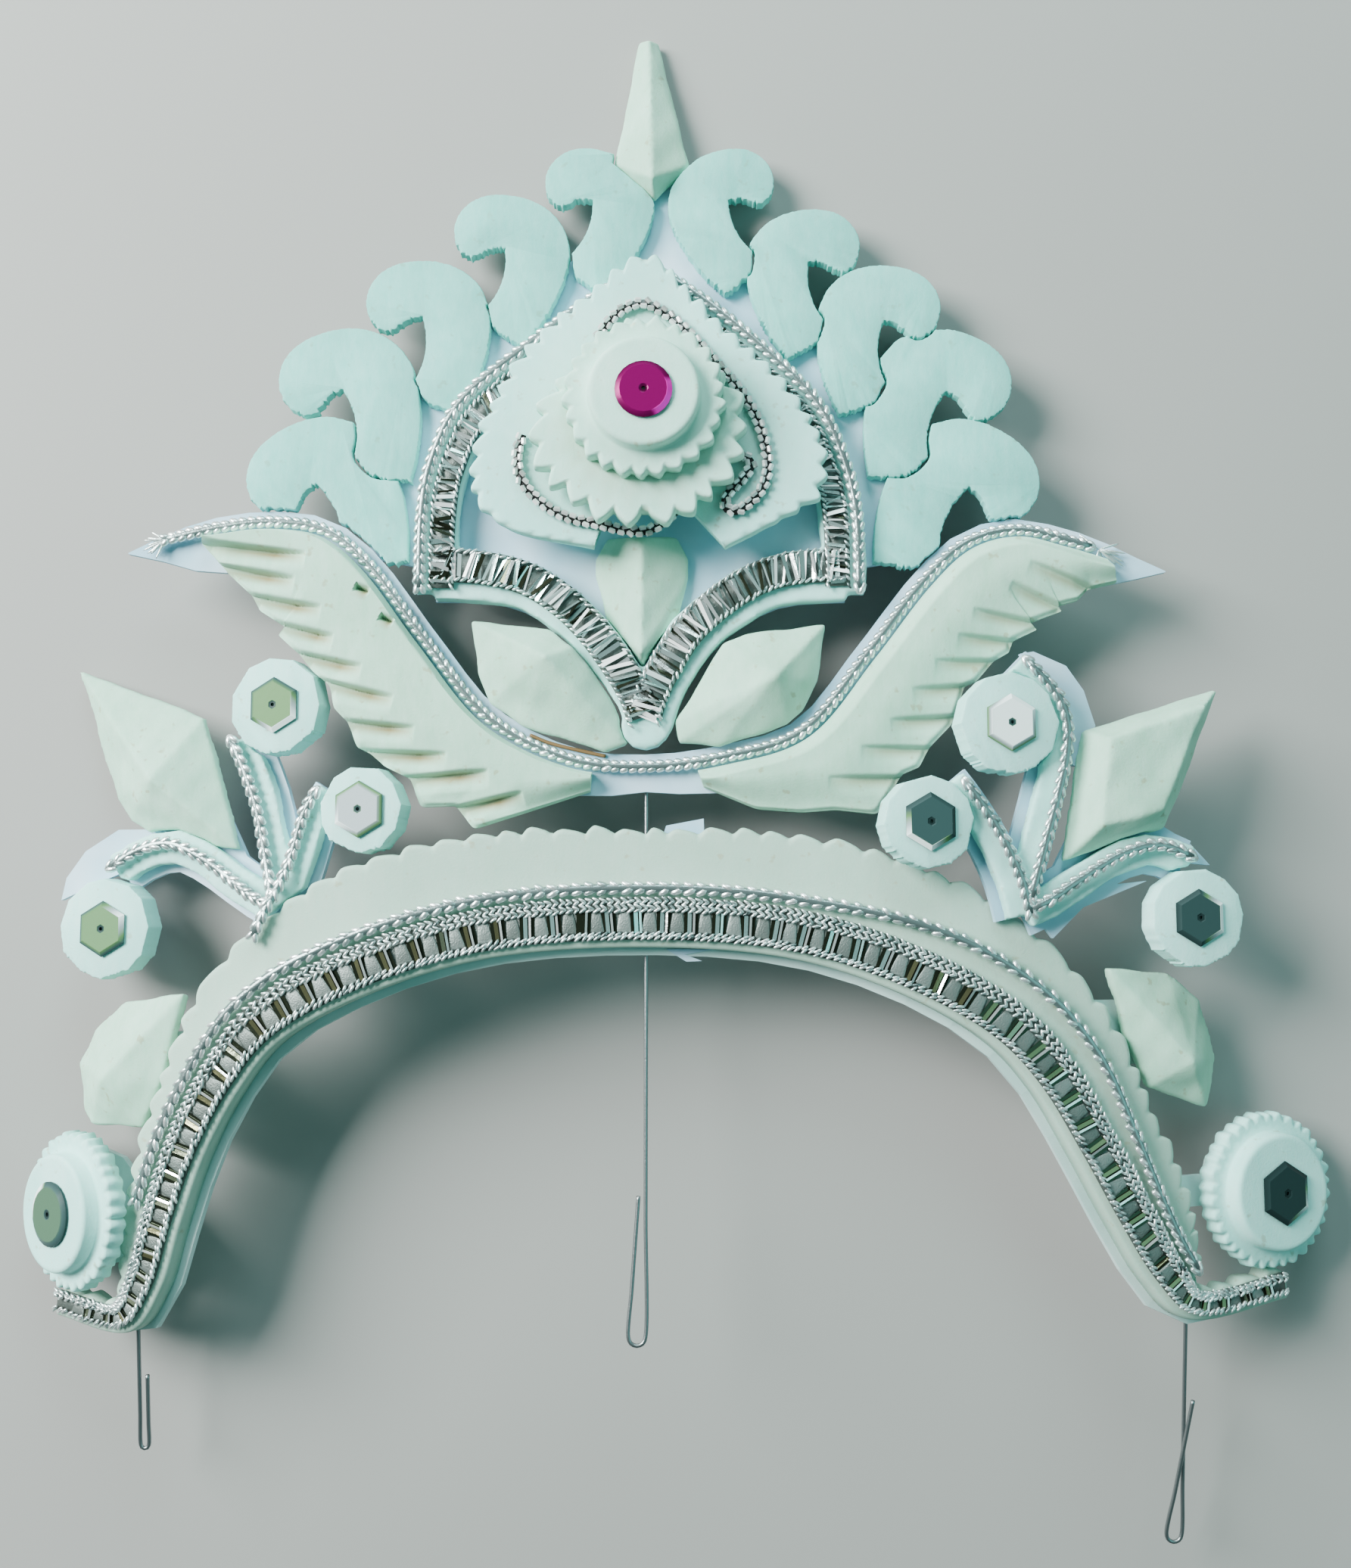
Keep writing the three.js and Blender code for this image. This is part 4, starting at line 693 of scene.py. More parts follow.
def metal_finish(name, stops, roughness, grain, strength, metallic=1.0, specular=0.5):
    """Metal whose colour follows the tone of each stitch, strip or sequin."""
    material, nodes, links, shader = node_material(name)
    colour = ramp(nodes, links, attribute(nodes, "tone"), stops)
    links.new(colour, shader.inputs["Base Color"])
    shader.inputs["Metallic"].default_value = metallic
    shader.inputs["Specular IOR Level"].default_value = specular
    shader.inputs["Roughness"].default_value = roughness
    bump(nodes, links, shader, noise(nodes, links, grain, 2), strength, 0.0001)
    return material


# The scrolls' pith is a darker, more aqua copy: partly its own tone, partly painted cool light and shade.
PITH_SCROLL = pith_finish("pith_scroll", (0.27, 0.62, 0.58), (0.37, 0.80, 0.75), (0.22, 0.38, 0.29))
PITH_WING = pith_finish("pith_wing", (0.50, 0.73, 0.60), (0.62, 0.86, 0.73), (0.34, 0.26, 0.12))
PITH_CREAM = pith_finish("pith_cream", (0.54, 0.80, 0.71), (0.68, 0.93, 0.84), (0.46, 0.40, 0.25))
PITH_BOSS = pith_finish("pith_boss", (0.50, 0.83, 0.79), (0.65, 0.96, 0.92), (0.38, 0.34, 0.20))
CARD = card_finish("card", (0.36, 0.60, 0.76), (0.58, 0.74, 0.88))
# A lighter, greener copy of the card for the band: light painted on the band's shaded inner edge.
CARD_BAND = card_finish("card_band", (0.50, 0.72, 0.70), (0.66, 0.84, 0.82))
GLUE = card_finish("glue", (0.16, 0.09, 0.03), (0.30, 0.18, 0.07))
SILVER = metal_finish(
    "silver_thread",
    [(0, (0.02, 0.03, 0.03)), (0.3, (0.30, 0.38, 0.38)), (0.7, (0.80, 0.90, 0.89)), (1, (0.97, 1.0, 1.0))],
    roughness=0.3, grain=2500, strength=0.4, metallic=0.8,
)
NET = metal_finish(
    "silver_net", [(0, (0.10, 0.12, 0.11)), (1, (0.66, 0.76, 0.74))],
    roughness=0.45, grain=4000, strength=0.9, metallic=0.5,
)
FOIL = metal_finish(
    "foil",
    [(0, (0.02, 0.03, 0.02)), (0.4, (0.22, 0.21, 0.11)), (0.7, (0.45, 0.72, 0.70)), (1, (0.98, 1.0, 1.0))],
    roughness=0.16, grain=900, strength=0.25, metallic=0.8,
)
# Painted glints: near white strips of a dull finish that stay bright under any light, set among the crest's
# foil.
SPARK = metal_finish(
    "spark", [(0, (0.60, 0.70, 0.70)), (1, (1.0, 1.0, 1.0))],
    roughness=0.3, grain=900, strength=0.2, metallic=0.1,
)
# Mirror sequins drawn with a dull finish whose tones paint their reflections, from dark through olive and
# grey to white.
MIRROR = metal_finish(
    "mirror",
    [(0, (0.01, 0.02, 0.02)), (0.2, (0.04, 0.08, 0.08)), (0.4, (0.11, 0.23, 0.09)), (0.7, (0.36, 0.42, 0.45)),
     (1, (0.90, 1.0, 1.0))],
    roughness=0.3, grain=1400, strength=0.15, metallic=0, specular=0.08,
)
MAGENTA = metal_finish(
    "magenta_foil", [(0, (0.03, 0, 0.015)), (0.5, (0.20, 0, 0.09)), (1, (0.85, 0.02, 0.5))],
    roughness=0.25, grain=1500, strength=0.1, metallic=0.3, specular=0.15,
)
BEADS = metal_finish(
    "bead", [(0, (0.02, 0.02, 0.02)), (0.2, (0.30, 0.32, 0.30)), (1, (1.0, 1.0, 1.0))],
    roughness=0.2, grain=900, strength=0.1, metallic=0.4,
)
WIRE = metal_finish(
    "wire", [(0, (0.18, 0.19, 0.20)), (1, (0.42, 0.45, 0.46))], roughness=0.38, grain=1800, strength=0.3
)


# Carved pith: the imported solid, softened.
CARVE = {"step": 0.0004, "rounds": 2}
FRAME_CARVE = {"step": 0.00045, "rounds": 3}
RIPPLE = {"seed": 5, "waves": 14, "length": (0.004, 0.011), "height": 0.00003, "phase": 6.3}


def ripple(points):
    """Hand-cut unevenness in metres, from waves of a few millimetres."""
    waves = np.random.default_rng(RIPPLE["seed"])
    rise = np.zeros(len(points))
    for _ in range(RIPPLE["waves"]):
        direction = unit(waves.normal(0, 1, 3))
        length = waves.uniform(*RIPPLE["length"])
        phase = waves.uniform(0, RIPPLE["phase"])
        rise += RIPPLE["height"] * np.sin(points @ direction * 2 * math.pi / length + phase)
    return rise


def evened(node, step, rounds):
    """The mesh of a node, drawn again with small even faces and softened."""
    mesh = NODES[node].data.copy()
    body = bmesh.new()
    body.from_mesh(mesh)
    bmesh.ops.remove_doubles(body, verts=body.verts, dist=1e-6)
    body.to_mesh(mesh)
    body.free()
    rough = link_object(node + "_rough", mesh)
    remesh = rough.modifiers.new("even", "REMESH")
    remesh.mode = "VOXEL"
    remesh.voxel_size = step
    smooth = rough.modifiers.new("soft", "SMOOTH")
    smooth.factor = 0.5
    smooth.iterations = rounds
    graph = bpy.context.evaluated_depsgraph_get()
    result = bpy.data.meshes.new_from_object(rough.evaluated_get(graph))
    bpy.data.objects.remove(rough)
    result.name = node + "_carved"
    return result


def carved(node, finish, step=CARVE["step"], rounds=CARVE["rounds"]):
    mesh = evened(node, step, rounds)
    points = np.empty(len(mesh.vertices) * 3)
    normals = np.empty(len(mesh.vertices) * 3)
    mesh.vertices.foreach_get("co", points)
    mesh.vertex_normals.foreach_get("vector", normals)
    places = points.reshape(-1, 3)
    places += normals.reshape(-1, 3) * ripple(places)[:, None]
    mesh.vertices.foreach_set("co", points)
    mesh.materials.clear()
    mesh.materials.append(finish)
    mesh.polygons.foreach_set("use_smooth", [True] * len(mesh.polygons))
    mesh.update()
    dress(add_piece(node + "_carved", mesh), "pith", node)


# Braid of the band.
def brow_ribbon():
    rows = smooth_line([(row["x"], row["y"], row["face"]) for row in BROW], LINE_SPACING)
    return Ribbon(rows[:, :2], band_place), rows[:, 2]


def rope_offset(face):
    return np.minimum(BAND_ROPE["most"], BAND_ROPE["base"] + BAND_ROPE["per_face"] * face)


def rope_shift(x):
    rise = eased((x - ROPE_SHIFT["from"]) / (ROPE_SHIFT["full"] - ROPE_SHIFT["from"]))
    fall = eased((x - ROPE_SHIFT["ease"]) / (ROPE_SHIFT["end"] - ROPE_SHIFT["ease"]))
    return ROPE_SHIFT["most"] * rise * (1 - fall)


def build_band_rope():
    brow, faces = brow_ribbon()
    start = BAND_ROPE["left_trim"] * brow.length
    end = brow.length * (1 - BAND_ROPE["right_trim"])
    stops = np.arange(start, end, ROPE_PITCH["band"])

    def frames_at(places, shift):
        across = np.interp(places, brow.along, brow.line[:, 0])
        offset = rope_offset(np.interp(places, brow.along, faces)) + rope_shift(across)
        return brow.frames(places, offset + shift, TRIM + ROPE_RADIUS)

    heap = Heap()
    add_rope(heap, frames_at, stops, ROPE_PITCH["band"])
    dress(heap.build("band_rope_braid", [SILVER]), "silver", "band_rope")


def add_knit(heap, ribbon, offset, level, pitch, slant, start, end):
    """A row of a knitted edge, in small uneven stitches."""
    stops = np.arange(start, end, pitch)
    count = len(stops)
    stops = stops + draws.uniform(-KNIT["jitter"], KNIT["jitter"], count) * pitch
    beside = offset(stops) + draws.normal(0, KNIT["stray"], count)
    raised = level + KNIT["rise"] + draws.uniform(*KNIT["uneven"], count)
    slants = slant + draws.normal(0, KNIT["slant_spread"], count)
    frames = slanted(ribbon.frames(stops, beside, raised), slants)
    lengths = draws.uniform(*KNIT["length"], count)
    tones = np.clip(draws.normal(KNIT["tone"], KNIT["tone_spread"], count), KNIT["least_tone"], 1)
    add_grains(heap, STITCH, frames, lengths, KNIT["width"], KNIT["height"], tones)


def add_pleat(heap, ribbon, stop, low, high, tone):
    """A low lobe of net across the band's ladder, narrower towards its outer end."""
    near, far = low(stop), high(stop)
    level, half = TRIM + BACKING["thick"], PLEAT["half"] * PLEAT["pitch"]
    angles = [math.pi * k / PLEAT["arc"] for k in range(PLEAT["arc"] + 1)]
    rings = []
    for row in PLEAT_RINGS:
        offset = near + (far - near) * row["share"]
        wide, tall = half * row["wide"], PLEAT["tall"] * row["tall"]
        rings.append([
            ribbon.at(stop + wide * math.cos(angle), offset, level + tall * math.sin(angle) ** PLEAT["blunt"])
            for angle in angles
        ])
    heap.loft(rings, tone, 1)


def add_strip(heap, ribbon, stop, near, far, half, levels, skew, tone, finish=2):
    """A strip of foil across a ladder, one long edge higher than the other."""
    first, second = levels
    bar = []
    for place, offset in ((stop, near), (stop + skew, far)):
        left, right = place - half, place + half
        bar.append([
            ribbon.at(left, offset, first), ribbon.at(right, offset, second),
            ribbon.at(right, offset, second + FOIL_THICK), ribbon.at(left, offset, first + FOIL_THICK),
        ])
    heap.loft(bar, tone, finish)


def add_net(heap, ribbon, low, high, level, start, end):
    """The thin backing of a ladder, toned dark as painted shade in the gaps between strips."""
    stops = np.arange(start, end, BACKING["step"])
    near, far = low(stops), high(stops)
    top = level + BACKING["thick"]
    corners = [ribbon.at(stops, *corner) for corner in ((near, level), (far, level), (far, top), (near, top))]
    heap.loft(np.stack(corners, axis=1), BACKING["tone"], 1)


def between(inner, outer, share):
    return lambda stops: inner(stops) + (outer(stops) - inner(stops)) * share


def add_window(heap, ribbon, stop, low, high):
    """A pleat of net and, beyond it, a window with strips of foil: a near black one, an olive or teal one,
    and a bright one that is a painted highlight.
    """
    pitch = PLEAT["pitch"]
    add_pleat(heap, ribbon, stop, low, high, draws.uniform(*PLEAT["tone"]))
    near, far = low(stop), high(stop)
    across = ribbon.at(stop, near, 0)[0]
    olive = across < PLEAT["olive_left_of"] or across > PLEAT["olive_right_of"]
    middle = draws.choice(WINDOW_TONES["olive"]) if olive else WINDOW_TONES["teal"]
    tones = (WINDOW_TONES["dark"], middle, draws.choice(WINDOW_TONES["bright"]))
    window = stop + 0.5 * pitch
    lean = draws.uniform(-PLEAT["lean"], PLEAT["lean"]) * pitch
    for row, tone in zip(WINDOW_STRIPS, tones):
        levels = TRIM + row["rise"] + draws.uniform(*WINDOW_UNEVEN, 2)
        place = window + row["shift"] * pitch
        add_strip(heap, ribbon, place, near, far, row["half"] * pitch, levels, lean, tone)


def build_band_ladder():
    """Windows of foil between net pleats, with a chain along the brow and a knitted strip beside the rope."""
    brow, faces = brow_ribbon()

    def inner(stops):
        return np.full(np.shape(stops), BAND_LADDER["inner"])

    def outer(stops):
        return rope_offset(np.interp(stops, brow.along, faces)) - BAND_LADDER["rope_gap"]

    heap = Heap()
    start, end = LADDER_START, brow.length - LADDER_START
    low, high = (between(inner, outer, BAND_LADDER[edge]) for edge in ("window_low", "window_high"))
    add_net(heap, brow, inner, outer, TRIM, start, end)
    for row in LADDER_KNIT:
        offset = between(inner, outer, row["share"])
        add_knit(heap, brow, offset, TRIM, LADDER_KNIT_PITCH, row["slant"], start, end)
    pitch = PLEAT["pitch"]
    for stop in np.arange(start + pitch, end - pitch, pitch):
        moved = stop + draws.uniform(-PLEAT["jitter"], PLEAT["jitter"]) * pitch
        add_window(heap, brow, np.array(moved), low, high)
    dress(heap.build("band_ladder_braid", [SILVER, NET, FOIL], flat=(2,)), "silver", "band_ladder")


# Braid of the wings and the crest.
def wing_line():
    left = [(-row["x"], row["left"]) for row in WING_LINE[:0:-1]]
    right = [(row["x"], row["right"]) for row in WING_LINE]
    return smooth_line(left + right, LINE_SPACING, 0)


def both_sides(rows):
    left = [(-row["left"], row["y"]) for row in rows[:0:-1]]
    return left + [(row["right"], row["y"]) for row in rows]


def add_fray(heap, root, heading, length):
    """Loose threads at the end of a rope, fanning out about a heading."""
    count = FRAY["count"]
    directions = unit(heading + draws.normal(0, FRAY["spread"], (count, 3)) * (1, 1, FRAY["flat"]))
    lengths = length * draws.uniform(FRAY["shortest"], 1, count)
    side = unit(np.cross((0, 0, 1.0), directions))
    here = root + directions * lengths[:, None] * 0.5
    frames = (here, directions, side, np.cross(directions, side))
    tones = draws.choice(FRAY["tones"], count)
    add_grains(heap, STITCH, frames, lengths, FRAY["width"], FRAY["height"], tones)


def build_wing_rope():
    ribbon = Ribbon(wing_line())
    across = ribbon.line[:, 0]
    reach = (across > -WING_ROPE_REACH["left"]) & (across < WING_ROPE_REACH["right"])
    start, end = ribbon.along[reach][[0, -1]]
    stops = np.arange(start, end, ROPE_PITCH["wing"])
    heap = Heap()
    level = ON_CARD + ROPE_RADIUS
    add_rope(heap, lambda places, shift: ribbon.frames(places, shift, level), stops, ROPE_PITCH["wing"])
    here, ahead, _, _ = ribbon.frames(np.array((start, end)), 0, level)
    add_fray(heap, here[0], -ahead[0] - (0, FRAY["droop"], 0), FRAY["left"])
    add_fray(heap, here[1], ahead[1], FRAY["right"])
    dress(heap.build("wing_rope_braid", [SILVER]), "silver", "wing_rope")


def add_tinsel(heap, ribbon, inner, outer, start, end):
    """Strips of foil packed side by side at all tilts, knitted in along both edges."""
    def fixed(value):
        return lambda stops: np.full(np.shape(stops), value)

    add_net(heap, ribbon, fixed(inner), fixed(outer), FRAME_TRIM, start, end)
    for offset in (inner + TINSEL["edge"], outer - TINSEL["edge"]):
        pitch, slant = TINSEL["knit_pitch"], TINSEL["knit_slant"]
        add_knit(heap, ribbon, fixed(offset), FRAME_TRIM, pitch, slant, start, end)
    for stop in np.arange(start + TINSEL["pitch"], end - TINSEL["pitch"], TINSEL["pitch"]):
        place = stop + draws.uniform(-TINSEL["jitter"], TINSEL["jitter"]) * TINSEL["pitch"]
        half = TINSEL["half"] * draws.uniform(*TINSEL["halves"])
        levels = FRAME_TRIM + draws.uniform(*TINSEL["levels"], 2)
        skew = TINSEL["skew"] * draws.uniform(*TINSEL["skews"])
        near = inner + draws.uniform(*TINSEL["inset"])
        far = outer - draws.uniform(*TINSEL["inset"])
        # About a quarter of the strips take the painted glint finish.
        finish = 3 if draws.random() < TINSEL["sparks"] else 2
        tone = draws.choice(TINSEL["tones"])
        add_strip(heap, ribbon, place, near, far, half, levels, skew, tone, finish)


def build_crest_trim():
    ogive = Ribbon(smooth_line(both_sides(CREST_LINE), LINE_SPACING, 0))
    heap = Heap()
    pitch, level = ROPE_PITCH["crest"], FRAME_TRIM + ROPE_RADIUS
    stops = np.arange(ROPE_START, ogive.length, pitch)
    add_rope(heap, lambda places, shift: ogive.frames(places, shift, level), stops, pitch)
    dress(heap.build("crest_rope_braid", [SILVER]), "silver", "crest_rope")

    heap = Heap()
    middle, half, arch = CREST_LADDER["offset"], CREST_LADDER["half"], CREST_LADDER["arch_half"]
    add_tinsel(heap, ogive, -middle - half, half - middle, LADDER_START, ogive.length)
    for side in SIDES:
        points = [(SIGN[side] * row[side], row["y"]) for row in ARCH_LINE]
        ribbon = Ribbon(smooth_line(points, LINE_SPACING, 0))
        add_tinsel(heap, ribbon, -arch, arch, LADDER_START, ribbon.length)
    dress(heap.build("crest_ladder_braid", [SILVER, NET, FOIL, SPARK], flat=(2, 3)), "silver", "crest_ladder")


def build_bead_cord():
    """Two rows of beads on a near black thread, which also paints the shade between the beads."""
    ribbon = Ribbon(smooth_line([(row["x"], row["y"]) for row in BEAD_ROUTE], FINE_SPACING))
    heap = Heap()
    level = LEAVES_TOP + GAP + BEAD["level"]
    for row in (-1, 1):
        stops = np.arange(BEAD["start"], ribbon.length, BEAD["pitch"])
        stops = stops + (row + 1) * BEAD["stagger"] * BEAD["pitch"]
        slants = draws.normal(row * BEAD["slant"], BEAD["slant_spread"], len(stops))
        frames = slanted(ribbon.frames(stops, row * BEAD["row"], level), slants)
        tones = np.clip(draws.normal(BEAD["tone"], BEAD["tone_spread"], len(stops)), BEAD["least_tone"], 1)
        add_grains(heap, SEED, frames, BEAD["length"], BEAD["width"], BEAD["height"], tones)
    thread = BEAD["thread"]
    here, _, _, up = ribbon.frames(ribbon.along, 0, level - thread["below"])
    add_tube(heap, here, up, thread["wide"], thread["high"], sides=6, tones=0)
    dress(heap.build("bead_cord_beads", [BEADS], flat=(0,)), "silver", "bead_cord")


def band_group(side, x, y, level, extra_turn=0):
    """Places on a flat group that stands on the bent band at a point, turned with it."""
    foot = np.array((SIGN[side] * x, y))
    turn = float(band_turn(foot[0])[0]) + SIGN[side] * math.radians(extra_turn)
    base = band_place(foot, level)
    across = np.array((math.cos(turn), 0, -math.sin(turn)))
    out = np.array((math.sin(turn), 0, math.cos(turn)))

    def place(points, rise):
        rise = np.broadcast_to(rise, points[..., 0].shape)
        flat = points[..., :1] * across + points[..., 1:2] * np.array((0, 1, 0))
        return base + flat + rise[..., None] * out

    return place


def floret_place(side):
    floret = FLORETS[side]
    return band_group(side, floret["x"], floret["y"], floret["level"])


def build_floret_ropes(side):
    """Ropes along the routes of a floret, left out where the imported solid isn't near."""
    solid = NODES["floret_rope_" + side].data
    tree = BVHTree.FromPolygons([v.co for v in solid.vertices], [tuple(f.vertices) for f in solid.polygons])
    heap = Heap()
    place = floret_place(side)
    for route in FLORETS[side]["ropes"]:
        points = [(SIGN[side] * out, up, rise) for out, up, rise in route]
        line = smooth_line(points, FINE_SPACING)
        ribbon = Ribbon(line[:, :2], place)
        rises = FLORET_ROPE["level"] + line[:, 2]
        stops = np.arange(ROPE_START, ribbon.length, ROPE_PITCH["floret"])

        def frames_at(places, shift):
            return ribbon.frames(places, shift, np.interp(places, ribbon.along, rises))

        centres = to_row(frames_at(stops, 0)[0])
        kept = np.array([tree.find_nearest(Vector(centre))[3] < FLORET_ROPE["reach"] for centre in centres])
        add_rope(heap, frames_at, stops[kept], ROPE_PITCH["floret"])
    dress(heap.build(f"floret_rope_{side}_braid", [SILVER]), "silver", "floret_rope_" + side)


# Sequins and wires. Rings of a sequin: share of its radius, rise, and share of its tone; the low tones at the
# outer rim and round the hole are painted shade.
SEQUIN = table(
    "wide rise tone",
    (1, 0, 0.3), (1, 0.00018, 0.35), (0.83, 0.0006, 0.9), (0.80, 0.0006, 1), (0.17, 0.0006, 1),
    (0.13, 0.00052, 0.2), (0.07, 0.0005, 0.1), (0.07, 0, 0.1),
)
SEQUIN_SHARP = 12
GLINT_HALF = 40


def disc_frame(node):
    """Centre of a round flat node, its axes across and out, its radius, and its back below the centre."""
    corners = np.array([v.co for v in NODES[node].data.vertices])
    centre = corners.mean(axis=0)
    _, _, spread = np.linalg.svd(corners - centre)
    out = spread[2] * np.sign(spread[2] @ np.array(face_out))
    heights = (corners - centre) @ out
    flat = (corners - centre) - heights[:, None] * out
    reach = np.linalg.norm(flat, axis=1)
    return centre, unit(flat[reach.argmax()]), out, reach.max(), heights.min()


def build_sequin(node, finish, slot, tone, sides, glint):
    """A cupped sequin with a hole; the rim is painted bright as a glint where it faces the glint's direction,
    and the rim and the hole are painted darker as shade.
    """
    centre, across, out, radius, low = disc_frame(node)
    angles = 2 * math.pi * np.arange(sides) / sides
    circle = rays(angles) @ np.array((across, np.cross(out, across)))
    rings = [centre + out * (low + row["rise"]) + circle * radius * row["wide"] for row in SEQUIN]
    tones = np.repeat([[tone * row["tone"]] for row in SEQUIN], sides, axis=1)
    facing = np.degrees(np.arctan2(circle @ np.array(face_up), circle[:, 0]))
    lit = np.abs((facing - glint + 180) % 360 - 180) < GLINT_HALF
    # Painted glint on the rim.
    tones[1:3, lit] = 1
    heap = Heap()
    heap.loft(to_crown(np.array(rings)), tones.ravel(), hoop=True)
    dress(heap.build(node + "_cup", [finish], sharp=SEQUIN_SHARP), slot, node)


# Tone of each mirror, which paints what it reflects, its number of sides, and the direction in degrees of the
# edge that catches the light, where a glint is painted.
MIRRORS = table(
    "node tone sides glint",
    ("end_mirror_left", 0.27, 24, 150), ("end_mirror_right", 0.06, 6, -25),
    ("floret_mirror_left_outer", 0.42, 6, 30), ("floret_mirror_left_upper", 0.40, 6, -60),
    ("floret_mirror_left_inner", 0.72, 6, 200), ("floret_mirror_right_outer", 0.12, 6, 0),
    ("floret_mirror_right_upper", 1, 6, 60), ("floret_mirror_right_inner", 0.18, 6, 240),
)


def build_sequins():
    for row in MIRRORS:
        build_sequin(row["node"], MIRROR, "mirror", row["tone"], row["sides"], row["glint"])
    # Its bright right edge is a painted glint.
    build_sequin("boss_sequin", MAGENTA, "magenta", tone=0.5, sides=24, glint=-20)


PIN_POINTS = {"leg": 6, "eye": 5, "free": 4}
STRAIGHT_UP = np.array((0, 0, 1.0))


def build_pin(pin):
    """A wire with a straight leg, a narrow eye at its bottom and a free end that runs back up."""
    start = band_place(np.array((pin["x"], pin["top"])), -GAP - WIRE_RADIUS)

    def point(shift, y, rise=0.0):
        fallen = pin["drop"] * (pin["top"] - y) / (pin["top"] - pin["bottom"])
        return (start[0] + shift, y, start[2] - fallen + rise)

    leg = [point(0, y) for y in np.linspace(pin["top"], pin["bottom"], PIN_POINTS["leg"])]
    turn = pin["turn"]
    eye = [
        point(turn - turn * math.cos(angle), pin["bottom"] - abs(turn) * math.sin(angle))
        for angle in np.linspace(0, math.pi, PIN_POINTS["eye"])[1:-1]
    ]
    rise = pin["end"] - pin["bottom"]
    free = [
        point(2 * turn + pin["across"] * share, pin["bottom"] + rise * share, pin["lift"] * share)
        for share in np.linspace(0, 1, PIN_POINTS["free"])
    ]
    line = smooth_line(leg + eye + free, FINE_SPACING)
    heap = Heap()
    add_tube(heap, line, STRAIGHT_UP, WIRE_RADIUS, WIRE_RADIUS, sides=10, tones=0.6)
    dress(heap.build(pin["name"] + "_drawn", [WIRE]), "wire", pin["name"])


# Toothed plates of pith: spacing of the outline's points, radius of the middle as a share and of a disc's
# middle, points of the leaves' bottom, and sides of a pad.
TEETH = {"jitter": 0.16, "uneven": (0.75, 1.15), "soften": 2}
# Grooves: how they deepen towards a valley, and how much tan is painted in them as shade.
GROOVE = {"power": 1.5, "painted_shade": 0.35, "painted_shade_power": 3}
PLATE_SPACING = 0.00022
PLATE_CENTRE = 0.02
DISC_CENTRE = 0.0001
NOTCH_POINTS = 60
PAD_SIDES = 32

# Rings of a toothed edge from its back to its front: share of the groove's run inwards, share of the height,
# and share of the groove that runs in from each valley.
EDGE_RINGS = table(
    "run height groove",
    (0, 0, 0), (0, 0.55, 0.3), (0.08, 0.88, 0.9), (0.25, 1, 1), (0.6, 1, 0.5), (1, 1, 0), (1.1, 1, 0),
    (1.5, 1, 0),
)

# Rings of a rosette's disc from its foot inwards: inset from its radius, lift, and share of its height.
DISC_RINGS = table(
    "inset lift height",
    (-0.0003, 0, 0), (0, 0.0003, 0), (0.0001, 0, 0.8), (0.0003, 0, 0.94), (0.0007, 0, 1), (0.0011, 0, 1),
)

# Section of the band's face from its back over the teeth to the brow: share of the width, shift, share of the
# height, and share of the groove.
BAND_SECTION = table(
    "wide shift height groove",
    (0, 0, 0, 0), (1, 0, 0, 0), (1, 0, 0.6, 0.2), (1, -0.00015, 0.9, 0.8), (1, -0.0005, 1, 1),
    (1, -0.0009, 1, 0.4), (1, -0.0013, 1, 0), (1, -0.0016, 1, 0), (0.5, 0, 1, 0), (0, 0.0005, 1, 0),
    (0, 0.0001, 0.92, 0), (0, 0, 0.75, 0),
)


def tooth_wave(along, spec):
    """Leaning teeth of uneven width along a line: how far out each place stands, and its depth share."""
    teeth = max(1, round(along[-1] / spec["pitch"]))
    bounds = np.linspace(0, along[-1], teeth + 1)
    bounds[1:-1] += draws.uniform(-TEETH["jitter"], TEETH["jitter"], teeth - 1) * along[-1] / teeth
    tooth = np.clip(np.searchsorted(bounds, along, "right") - 1, 0, teeth - 1)
    phase = (along - bounds[tooth]) / (bounds[tooth + 1] - bounds[tooth])
    peak = spec["peak"]
    lobe = np.clip(np.minimum(phase / peak, (1 - phase) / (1 - peak)), 0, 1) ** spec["point"]
    return softened(lobe, TEETH["soften"]), draws.uniform(*TEETH["uneven"], teeth)[tooth]


def scalloped(line, spec, depth, centre):
    """A line with teeth that point away from a centre, and how near each point is to a valley."""
    lobe, uneven = tooth_wave(distances(line), spec)
    out = np.broadcast_to(depth, len(line)) * lobe * uneven
    return line + unit(line - centre) * out[:, None], 1 - lobe


def grooved(row, low, high, valley, spec):
    """Level of one ring of a toothed edge, lower where a groove runs in from a valley."""
    return low + (high - low) * row["height"] - spec["flute"] * row["groove"] * valley ** GROOVE["power"]


def edge_rings(reach, valley, low, high, spec):
    """Radius, level and painted shade of every ring of a toothed edge: tan painted as shade in each groove,
    most near the valley.
    """
    for row in EDGE_RINGS:
        painted_shade = GROOVE["painted_shade"] * row["groove"] * valley ** GROOVE["painted_shade_power"]
        yield reach - row["run"] * spec["run"], grooved(row, low, high, valley, spec), painted_shade


def add_rings(heap, rows, ray, centre, place):
    """A body through rings given by their radius along each ray, their level and their painted shade."""
    rings = [place(centre + ray * wide[:, None], level) for wide, level, _ in rows]
    heap.loft(rings, np.concatenate([painted_shade for _, _, painted_shade in rows]))


